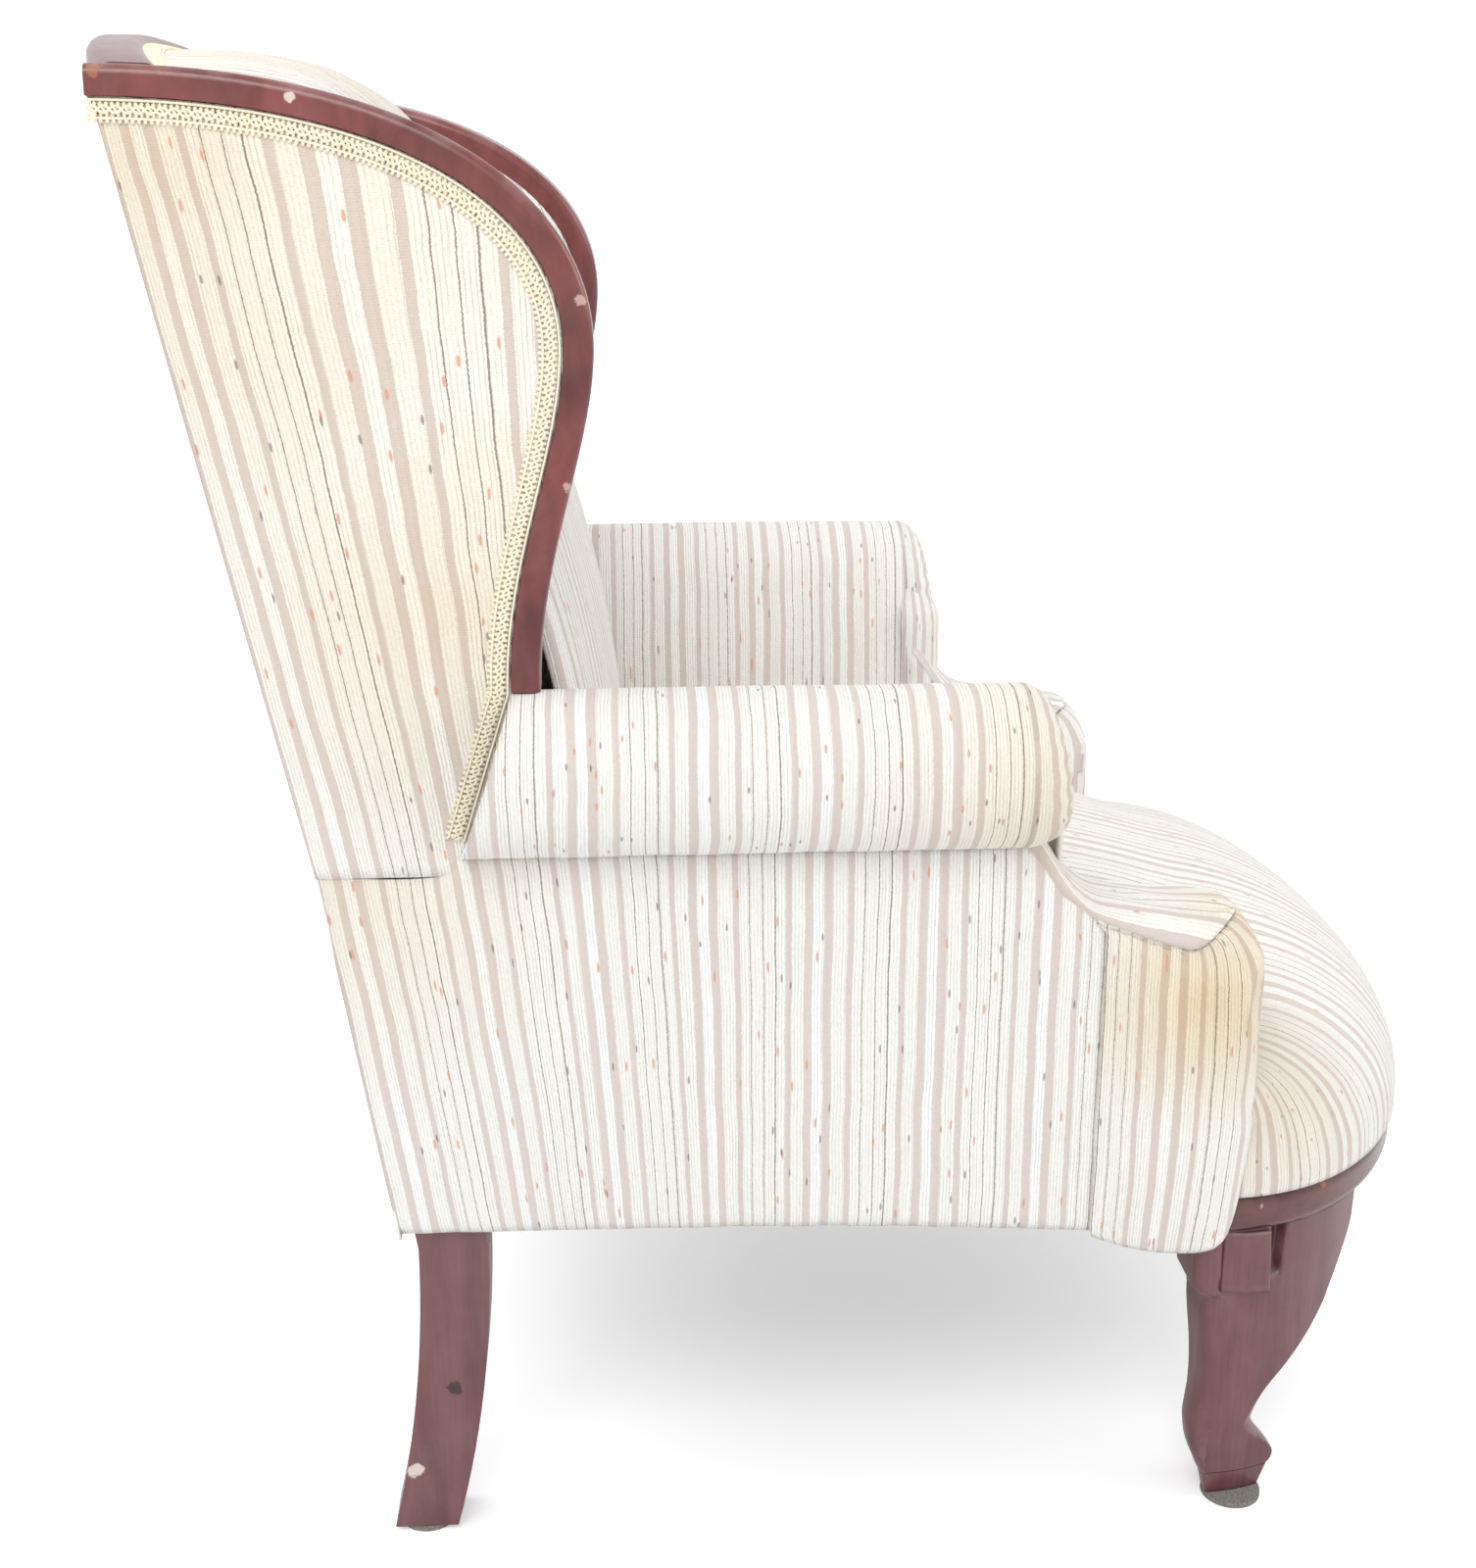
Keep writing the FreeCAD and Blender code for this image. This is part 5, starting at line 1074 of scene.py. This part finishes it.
def inside_back(s, t):
    x = lerp(-INNER_HALF, INNER_HALF, s)
    y, z = back_line(x, t)
    tuck = 0.012 * ease((abs(x) / INNER_HALF - 0.93) / 0.07)
    return Vector((x, y + tuck * (1 - t * 0.5), z))


back = Cover()
back.grid(60, 90, inside_back, lambda s, t, p: (p.x, 0.62 * t))
back_piece = back.piece("inside_back_cover_cloth", back_cloth, inside=(0, 0.45, 0.55))
print("inside back of", len(back_piece.data.polygons), "quads")

# %% [markdown]
# ## Inside wings
# Between the wing rail and the back cushion the wing is padded: the cover leaves the rail at a right angle
# and swells inwards to meet the back.

# %% Inside wings
def inside_wing(s, t):
    edge = wing_curve(RAIL_FACE - 0.001, t)
    tucked = 0.03 * ease((t - 0.93) / 0.07)
    start = on_wing(0.0305, edge.x, edge.y - tucked)
    end_z = lerp(0.958, 0.6105, t ** 0.9) - tucked
    share = (end_z - 0.436) / (0.978 - 0.436)
    back_y, _ = back_line(INNER_HALF, min(max(share * 0.9, 0), 1))
    end = Vector((-0.2235, max(back_y + 0.012, start.y + 0.006), end_z))
    bend = s * math.pi / 2
    way = end - start
    y = start.y + way.y * (1 - math.cos(bend))
    return Vector((start.x + way.x * math.sin(bend), y, lerp(start.z, end.z, s)))


wing_inner = Cover()
wing_inner.grid(20, 60, inside_wing, lambda s, t, p: (p.y * 0.4 + p.x, p.z))
wing_inside = wing_inner.piece("inside_wing_cover_right_cloth", wing_cloth, inside=(-0.27, 0.35, 0.75))

# %% [markdown]
# ## Outside back
# The outside back hangs from the crest to the bottom of the frame, flat below and bowed with the crest
# above.

# %% Outside back
CREST_LOW = 0.947
BACK_FOOT = 0.237


def outside_back(s, t):
    side = 2 * s - 1
    top = CREST_LOW + 0.004 + CREST_ARCH * (1 - side * side)
    z = lerp(BACK_FOOT, top, t)
    half = SIDE_PLANE - max(z - WAIST, 0) * math.tan(WING_LEAN)
    bow = along_points([(0.237, 0.002), (WAIST, 0.010), (0.977, 0.037)], z) * (1 - side * side)
    swell = 0.003 * math.sin(math.pi * s) * math.sin(math.pi * t)
    return Vector((side * half, rear_line(z) + COVER_OUT + bow + swell, z))


back_outer = Cover()
back_outer.grid(60, 80, outside_back, lambda s, t, p: (p.x, p.z))
back_outside = back_outer.piece("outside_back_cover_cloth", back_cloth, inside=(0, 0.1, 0.6))

# %% [markdown]
# ## Dust cover and webbing
# Black cambric is tacked under the seat, and jute webbing carries the stuffing. Neither is seen from above,
# but both are what such a chair has.

# %% Dust cover and webbing
dust_low, dust_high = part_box("dust_cover")
POST_INNER, POST_REAR = 0.222, -0.192
LEG_INNER, LEG_FRONT = 0.212, 0.225
STRAP_WIDTH, STRAP_THICK = 0.050, 0.0012


def under_seat(s, t):
    x = lerp(dust_low.x, dust_high.x, s)
    y = lerp(dust_low.y, dust_high.y, t)
    return Vector((x, y, dust_low.z + 0.0005 - 0.004 * math.sin(math.pi * s) * math.sin(math.pi * t)))


def clear_of_corners(p):
    return not (abs(p.x) > POST_INNER and p.y < POST_REAR) and not (abs(p.x) > LEG_INNER and p.y > LEG_FRONT)


under = Cover()
under.grid(54, 48, under_seat, lambda s, t, p: (p.x, p.y), keep=clear_of_corners)
dust_sheet = under.piece("dust_cover_cambric", black_cambric, inside=(0, 0, 0.4))


def straps(name, node, across, longways, lean=0.0):
    """Woven straps in the space of a node's webbing."""
    low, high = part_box(node)
    mesh = Cover()
    for number in range(across):
        share = (number + 0.5) / across
        mesh.grid(60, 2, lambda s, t, share=share, number=number: on_strap(
            low, high, s, share, t, number, lean), lambda s, t, p: (s, t))
    for number in range(longways):
        share = (number + 0.5) / longways
        mesh.grid(2, 60, lambda s, t, share=share, number=number: Vector((
            lerp(low.x, high.x, 0.5 + (share - 0.5) * 0.62) + (s - 0.5) * STRAP_WIDTH, lerp(low.y, high.y, t),
            lerp(low.z, high.z, 0.5) + 0.0008 * math.cos(math.pi * (across * t + number)))),
            lambda s, t, p: (s, t))
    made = mesh.piece(name, jute)
    thicken(made, STRAP_THICK)
    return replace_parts(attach(made, "root"), node)


def on_strap(low, high, s, share, t, number, lean):
    """A point of a cross strap: flat under the seat, or standing and leaning in the back."""
    x = lerp(low.x, high.x, s)
    if lean:
        z = lerp(low.z + 0.025, high.z - 0.025, share * 1.22 - 0.11) + (t - 0.5) * STRAP_WIDTH
        return Vector((x, lerp(low.y, high.y, (z - low.z) / (high.z - low.z)), z))
    y = lerp(low.y + 0.02, high.y - 0.02, share) + (t - 0.5) * STRAP_WIDTH
    return Vector((x, y, lerp(low.z, high.z, 0.5) - 0.0008 * math.cos(math.pi * (s * 4 + number))))


straps("seat_webbing_straps", "seat_webbing", 5, 4)
straps("back_webbing_straps", "back_webbing", 5, 0, lean=1.0)

# %% [markdown]
# ## Front legs
# A cabriole leg is sawn from one block: a broad knee with a rounded outer front corner, an S curve down to
# a round ankle, and a pad foot with a sharp rim. Each number below is a size of the leg at a height, and
# rings of points through them make one smooth skin.

# %% Front legs
RIM_HEIGHT, LEG_TOP = 0.021, 0.2165
LEG_SIZES = {
    "out": [(0.021, 0.2785), (0.027, 0.278), (0.033, 0.274), (0.040, 0.2695), (0.055, 0.2645),
            (0.065, 0.264), (0.086, 0.2615), (0.110, 0.2575), (0.130, 0.254), (0.150, 0.252), (0.167, 0.2505),
            (0.2165, 0.250)],
    "front": [(0.021, 0.3235), (0.0235, 0.3265), (0.027, 0.3282), (0.031, 0.3280), (0.035, 0.3258),
              (0.040, 0.3215), (0.046, 0.3165), (0.055, 0.3123), (0.065, 0.3140), (0.078, 0.3200),
              (0.089, 0.3270), (0.100, 0.3360), (0.117, 0.3490), (0.138, 0.3635), (0.150, 0.3690),
              (0.167, 0.3769), (0.190, 0.3861), (0.2165, 0.3881)],
    "back": [(0.021, 0.2735), (0.0235, 0.2715), (0.027, 0.2700), (0.031, 0.2685), (0.035, 0.2668),
             (0.040, 0.2655), (0.046, 0.2648), (0.055, 0.2645), (0.065, 0.2655), (0.078, 0.2672),
             (0.100, 0.2682), (0.117, 0.2680), (0.141, 0.2668), (0.1655, 0.2662), (0.167, 0.2595),
             (0.2165, 0.2595)],
    "width": [(0.021, 0.052), (0.0235, 0.055), (0.027, 0.0568), (0.031, 0.0565), (0.035, 0.0545),
              (0.040, 0.0510), (0.046, 0.048), (0.055, 0.0465), (0.065, 0.048), (0.086, 0.053),
              (0.110, 0.061), (0.130, 0.068), (0.150, 0.073), (0.167, 0.076), (0.2165, 0.078)],
    "round": [(0.021, 0.026), (0.027, 0.028), (0.040, 0.023), (0.055, 0.022), (0.110, 0.028),
              (0.2165, 0.030)],
    "corner": [(0.021, 0.026), (0.027, 0.028), (0.040, 0.023), (0.055, 0.022), (0.110, 0.018),
               (0.2165, 0.009)],
}
SLOT_MIDDLE, SLOT_FOOT, SLOT_DEPTH, SLOT_EDGE = -0.3178, 0.174, 0.012, 0.0024
RAIL_INSIDE_HALF, RAIL_INSIDE_REACH = 0.287, 0.191
LEG_COLUMNS, LEG_ROWS = 320, 90
GLIDE_MIDDLE = Vector((-0.279, -0.299, 0.004))
FOOT_MIDDLE = Vector((-0.2785, -0.3005, RIM_HEIGHT))
LID_MIDDLE = Vector((-0.245, -0.318, LEG_TOP))
FOOT_DRAW = 0.80
EAR_TOP = 0.2155


def leg_ring(s, z):
    """A point of the right leg at a height, a share s of the way round its four corners and four flats."""
    value = {name: along_points(points, z) for name, points in LEG_SIZES.items()}
    half_x, half_y = value["width"] / 2, (value["front"] - value["back"]) / 2
    part = min(int(s * 8), 7)
    share = s * 8 - part

    def on_corner(number, turn):
        side_x, side_y = ((1, 1), (-1, 1), (-1, -1), (1, -1))[number % 4]
        radius = min(value["round"] if number % 2 == 0 else value["corner"], half_x, half_y)
        angle = math.pi / 2 * (number % 4 + turn)
        return (side_x * (half_x - radius) + radius * math.cos(angle),
                side_y * (half_y - radius) + radius * math.sin(angle))

    if part % 2 == 0:
        x, y = on_corner(part // 2, share)
    else:
        first, last = on_corner(part // 2, 1), on_corner(part // 2 + 1, 0)
        x, y = lerp(first[0], last[0], share), lerp(first[1], last[1], share)
    x, y = x - value["out"], y - (value["front"] + value["back"]) / 2
    if y < BOW_LINE:
        bowed = max(1 - ((y - BOW_LINE) / RAIL_INSIDE_REACH) ** 2, 0.0)
        rail = RAIL_INSIDE_HALF * math.sqrt(bowed)
        x = max(x, -rail + 0.0004)
    if z > SLOT_FOOT and x < -value["out"]:
        half = lerp(0.0022, 0.0048, (z - SLOT_FOOT) / (LEG_TOP - SLOT_FOOT))
        opened = ease((half + SLOT_EDGE / 2 - abs(y - SLOT_MIDDLE)) / SLOT_EDGE)
        x += SLOT_DEPTH * opened * ease((z - SLOT_FOOT) / 0.008)
    return Vector((x, y, z))


def leg_sole(s, t):
    """Under the rim the foot draws in, straight down to the glide."""
    rim = leg_ring(s, RIM_HEIGHT)
    low = GLIDE_MIDDLE + (rim - FOOT_MIDDLE) * FOOT_DRAW
    low.z = GLIDE_MIDDLE.z
    return (rim - Vector((0, 0, 0.0004))).lerp(low, t)


def knee_plate(s, t):
    """The ear: a thin bracket glued to the outside of the knee, with a ledge along its foot."""
    y = lerp(-0.277, lerp(-0.3135, -0.3105, t), s)
    z = lerp(lerp(0.169, 0.1665, s), EAR_TOP, t)
    edge = min(1.0, ease((1 - s) / 0.06), ease(t / 0.03))
    ledge = 0.0018 * math.exp(-((t - 0.05) / 0.035) ** 2)
    x = -0.2868 - 0.0034 * edge * lerp(0.25, 1, ease(s / 0.5)) - ledge + 0.0022 * s ** 2
    return Vector((x, y, z))


def ear_block(s, t):
    """The ear on the front of the knee, seen as a small triangular bracket under the rail."""
    angle = math.pi * s
    x, y = -0.226 - 0.012 * math.cos(angle), -0.375 - 0.013 * math.sin(angle) * t
    return Vector((x, y, lerp(0.172, EAR_TOP, t)))


def share_measure(s, t, place):
    """Wood needs no cloth measure, so the UV map gets the bare shares."""
    return s, t


front_leg = Cover()
front_leg.grid(LEG_COLUMNS, LEG_ROWS, lambda s, t: leg_ring(s, lerp(RIM_HEIGHT, LEG_TOP, t)), share_measure)
front_leg.grid(LEG_COLUMNS, 3, lambda s, t: leg_ring(s, LEG_TOP).lerp(LID_MIDDLE, t), share_measure)
front_leg.grid(LEG_COLUMNS, 8, leg_sole, share_measure)
front_leg.grid(LEG_COLUMNS, 2, lambda s, t: leg_sole(s, 1).lerp(GLIDE_MIDDLE, t), share_measure)
leg_right = front_leg.piece("front_leg_right_skin", leg_wood, inside=(-0.26, -0.30, 0.15), join=0.0001)
ears = Cover()
ears.grid(20, 20, knee_plate, share_measure)
ears.grid(16, 12, ear_block, share_measure)
ears_right = ears.piece("knee_ears_right_skin", leg_wood, inside=(-0.20, -0.33, 0.19))
ears_left = mirrored(ears_right, "knee_ears_left_skin")
for skin in (ears_right, ears_left):
    thicken(skin, 0.003)
    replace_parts(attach(skin, "root"), "knee_ears")
leg_left = mirrored(leg_right, "front_leg_left_skin")
for skin, hand in ((leg_right, "right"), (leg_left, "left")):
    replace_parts(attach(skin, "root"), "front_leg_" + hand)
print("each front leg of", len(leg_right.data.polygons), "quads")

# %% [markdown]
# ## Gimp
# Gimp is a scroll braid that hides the tacks. Four cords cross in figures of eight between two edge cords,
# and fine loops stand along the side that meets the wood. Each cord is a curve with a round bevel.

# %% Gimp
SCROLL_PITCH = 0.0066
LOOP_PITCH = 0.0036


def resampled(points, step):
    """Points at even distances along a line of points, with their distance."""
    result, carried, walked = [(points[0], 0.0)], 0.0, 0.0
    for a, b in zip(points, points[1:]):
        run = (b - a).length
        while carried + run >= step:
            a = a.lerp(b, (step - carried) / run)
            run = (b - a).length
            walked += step
            carried = 0.0
            result.append((a.copy(), walked))
        carried += run
    return result


def gimp(name, line, facing, loop_side):
    """A scroll braid along a line; facing is the way it looks, loop_side which edge has the fine loops."""
    data = bpy.data.curves.new(name, "CURVE")
    data.dimensions = "3D"
    data.bevel_depth = 0.00085
    data.bevel_resolution = 1
    data.materials.append(braid_yarn)
    spots = resampled(line, 0.00055)

    def cord(shape):
        spline = data.splines.new("POLY")
        places = []
        for index, (place, walked) in enumerate(spots):
            ahead = (spots[min(index + 3, len(spots) - 1)][0] - spots[max(index - 3, 0)][0]).normalized()
            sideways = ahead.cross(facing).normalized() * loop_side
            side, on, lift = shape(walked)
            places.append(place + sideways * side + ahead * on + facing * lift)
        spline.points.add(len(places) - 1)
        for point, place in zip(spline.points, places):
            point.co = (*place, 1)

    turn = 2 * math.pi / SCROLL_PITCH
    loops = 2 * math.pi / LOOP_PITCH
    for phase in (0, math.pi):
        cord(lambda d, phase=phase: (0.0037 * math.sin(turn * d + phase), 0.0011 * math.sin(2 * turn * d),
                                     0.0006 + 0.0005 * math.cos(turn * d + phase)))
        cord(lambda d, phase=phase: (0.0020 * math.sin(turn * d * 0.5 + phase), 0.0, 0.0011))
    cord(lambda d: (-0.0052, 0.0, 0.0008))
    cord(lambda d: (0.0048, 0.0, 0.0008))
    cord(lambda d: (0.0059 + 0.0013 * math.sin(loops * d), 0.0012 * math.cos(loops * d), 0.0007))
    made = bpy.data.objects.new(name, data)
    scene.collection.objects.link(made)
    return made


gimp_middle = RAIL_FACE + GIMP_WIDTH / 2
wing_out = (on_wing(-1, 0, 0) - on_wing(0, 0, 0)).normalized()
gimp_line = []
for step in range(161):
    edge = wing_curve(gimp_middle, step / 160)
    gimp_line.append(on_wing(-0.0006, edge.x, edge.y))
for step in range(1, 41):
    up = lerp(WING_FOOT[1], 0.0246, step / 40)
    gimp_line.append(on_wing(-0.0006, arm_rear(WAIST + up) + GIMP_WIDTH / 2, up))
wing_braid = gimp("wing_gimp_right_braid", gimp_line, wing_out, 1)
wing_braid_left = gimp("wing_gimp_left_braid", [Vector((-p.x, p.y, p.z)) for p in gimp_line],
                       Vector((-wing_out.x, 0, wing_out.z)), -1)
crest_line = []
for step in range(81):
    x = lerp(-0.226, 0.226, step / 80)
    share = (x / CREST_HALF) ** 2
    crest_line.append(Vector((x, CREST_REAR - CREST_DEPTH + CREST_BOW * (1 - share) - 0.006,
                              CREST_TOP - CREST_ARCH * share - 0.0085)))
crest_braid = gimp("crest_gimp_braid", crest_line, Vector((0, -0.25, 0.97)).normalized(), -1)
braid_run = sum((b - a).length for a, b in zip(gimp_line, gimp_line[1:]))
print("braid runs", round(braid_run, 3), "m along each wing")

# %% [markdown]
# ## Puffing, thickness and hidden nodes
# The tight covers are tacked at their edges and pushed out by the stuffing, which the cloth simulation
# shows. Then each cover gets its thickness and its twin on the other side, and the frame's nodes
# that it covers are hidden.

# %% Puff the padded covers
puff(arm_piece, 3.0, 0.004)
puff(back_piece, 4.0, 0.006)
puff(seat_piece, 4.0, 0.005)
puff(post_piece, 3.0, 0.003)
puff(wing_inside, 3.0, 0.005)

# %% Thicken the covers and hide the nodes each one covers
TIGHT_CLOTH, LINED_CLOTH = 0.0016, 0.003
SIDED = {
    "outside_wing_cover": (wing_outside, TIGHT_CLOTH, ("outside_wing_cover",)),
    "outside_arm_cover": (side_outside, TIGHT_CLOTH, ("outside_arm_cover", "side_wadding")),
    "arm_cover": (arm_piece, LINED_CLOTH, ("arm_cover", "arm_padding")),
    "post_facing": (post_piece, LINED_CLOTH, ("post_facing",)),
    "inside_wing_cover": (wing_inside, LINED_CLOTH, ("inside_wing_cover", "wing_padding")),
}
for stem, (right, thickness, nodes) in SIDED.items():
    left = mirrored(right, stem + "_left_cloth")
    for piece, hand in ((right, "right"), (left, "left")):
        thicken(piece, thickness)
        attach(piece, "root")
        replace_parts(piece, *[f"{node}_{hand}" for node in nodes])
for piece, thickness, nodes in (
        (seat_piece, LINED_CLOTH, ("seat_cover", "seat_padding")),
        (back_piece, LINED_CLOTH, ("inside_back_cover", "back_padding")),
        (back_outside, TIGHT_CLOTH, ("outside_back_cover", "back_wadding"))):
    thicken(piece, thickness)
    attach(piece, "root")
    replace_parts(piece, *nodes)
thicken(dust_sheet, 0.0008)
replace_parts(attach(dust_sheet, "root"), "dust_cover")
for piece, node in (
        (wing_braid, "wing_gimp_right"), (wing_braid_left, "wing_gimp_left"), (crest_braid, "crest_gimp")):
    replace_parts(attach(piece, "root"), node)

# %% [markdown]
# ## Studio
# A white sweep with soft light from all round and one large lamp above, so the wood gets long highlights
# and the floor a faint grey shadow.

# %% Studio
FLOOR_LIFT = 0.36
ROOM_LIGHT, CAMERA_EXTRA = 0.9, 0.07
SWEEP_START, SWEEP_RADIUS, SWEEP_BACK, SWEEP_TOP, SWEEP_HALF = 2.2, 1.2, 3.4, 5.0, 7.0
floor_mesh = bmesh.new()
profile = [(-6.0, 0.0)]
for step in range(17):
    angle = math.pi / 2 * step / 16
    rise = SWEEP_RADIUS - SWEEP_RADIUS * math.cos(angle)
    profile.append((SWEEP_START + SWEEP_RADIUS * math.sin(angle), rise))
profile.append((SWEEP_BACK, SWEEP_TOP))
rows = [[floor_mesh.verts.new((x, y, z)) for x, z in profile] for y in (-SWEEP_HALF, SWEEP_HALF)]
for a, b, c, d in zip(rows[0], rows[0][1:], rows[1][1:], rows[1]):
    floor_mesh.faces.new((a, b, c, d)).smooth = True
floor_data = bpy.data.meshes.new("sweep")
floor_mesh.to_mesh(floor_data)
floor_mesh.free()
floor = bpy.data.objects.new("sweep", floor_data)
scene.collection.objects.link(floor)
paper, tree, shader = material("white sweep")
shader.inputs["Base Color"].default_value = (0.93, 0.935, 0.95, 1)
shader.inputs["Roughness"].default_value = 0.9
shader.inputs["Specular IOR Level"].default_value = 0.1
seen = add(tree, "LightPath").outputs["Is Camera Ray"]
shader.inputs["Emission Color"].default_value = (1, 1, 1, 1)
tree.links.new(calc(tree, "MULTIPLY", seen, FLOOR_LIFT), shader.inputs["Emission Strength"])
floor_data.materials.append(paper)

world = bpy.data.worlds.new("studio")
scene.world = world
world.use_nodes = True
sky = world.node_tree.nodes["Background"]
rays = add(world.node_tree, "LightPath").outputs
for_camera = calc(world.node_tree, "MAXIMUM", rays["Is Camera Ray"], rays["Is Transmission Ray"])
camera_extra = calc(world.node_tree, "MULTIPLY", for_camera, CAMERA_EXTRA)
world.node_tree.links.new(calc(world.node_tree, "ADD", camera_extra, ROOM_LIGHT), sky.inputs["Strength"])
sky.inputs["Color"].default_value = (1, 1, 1, 1)


def soft_lamp(name, place, target, size, watts):
    lamp = bpy.data.objects.new(name, bpy.data.lights.new(name, "AREA"))
    lamp.data.shape = "RECTANGLE"
    lamp.data.size, lamp.data.size_y = size
    lamp.data.energy = watts
    lamp.location = place
    lamp.rotation_mode = "QUATERNION"
    lamp.rotation_quaternion = (Vector(target) - Vector(place)).to_track_quat("-Z", "Y")
    scene.collection.objects.link(lamp)


soft_lamp("lamp over the camera", (-2.2, 0.6, 2.6), (0, 0, 0.4), (1.8, 1.2), 30)
soft_lamp("lamp over the back", (0.4, 1.8, 2.4), (0, 0.1, 0.5), (1.4, 1.4), 14)
soft_lamp("lamp over the front", (-0.2, -2.4, 2.0), (0, -0.2, 0.4), (1.4, 1.4), 14)
scene.view_settings.view_transform = "Standard"
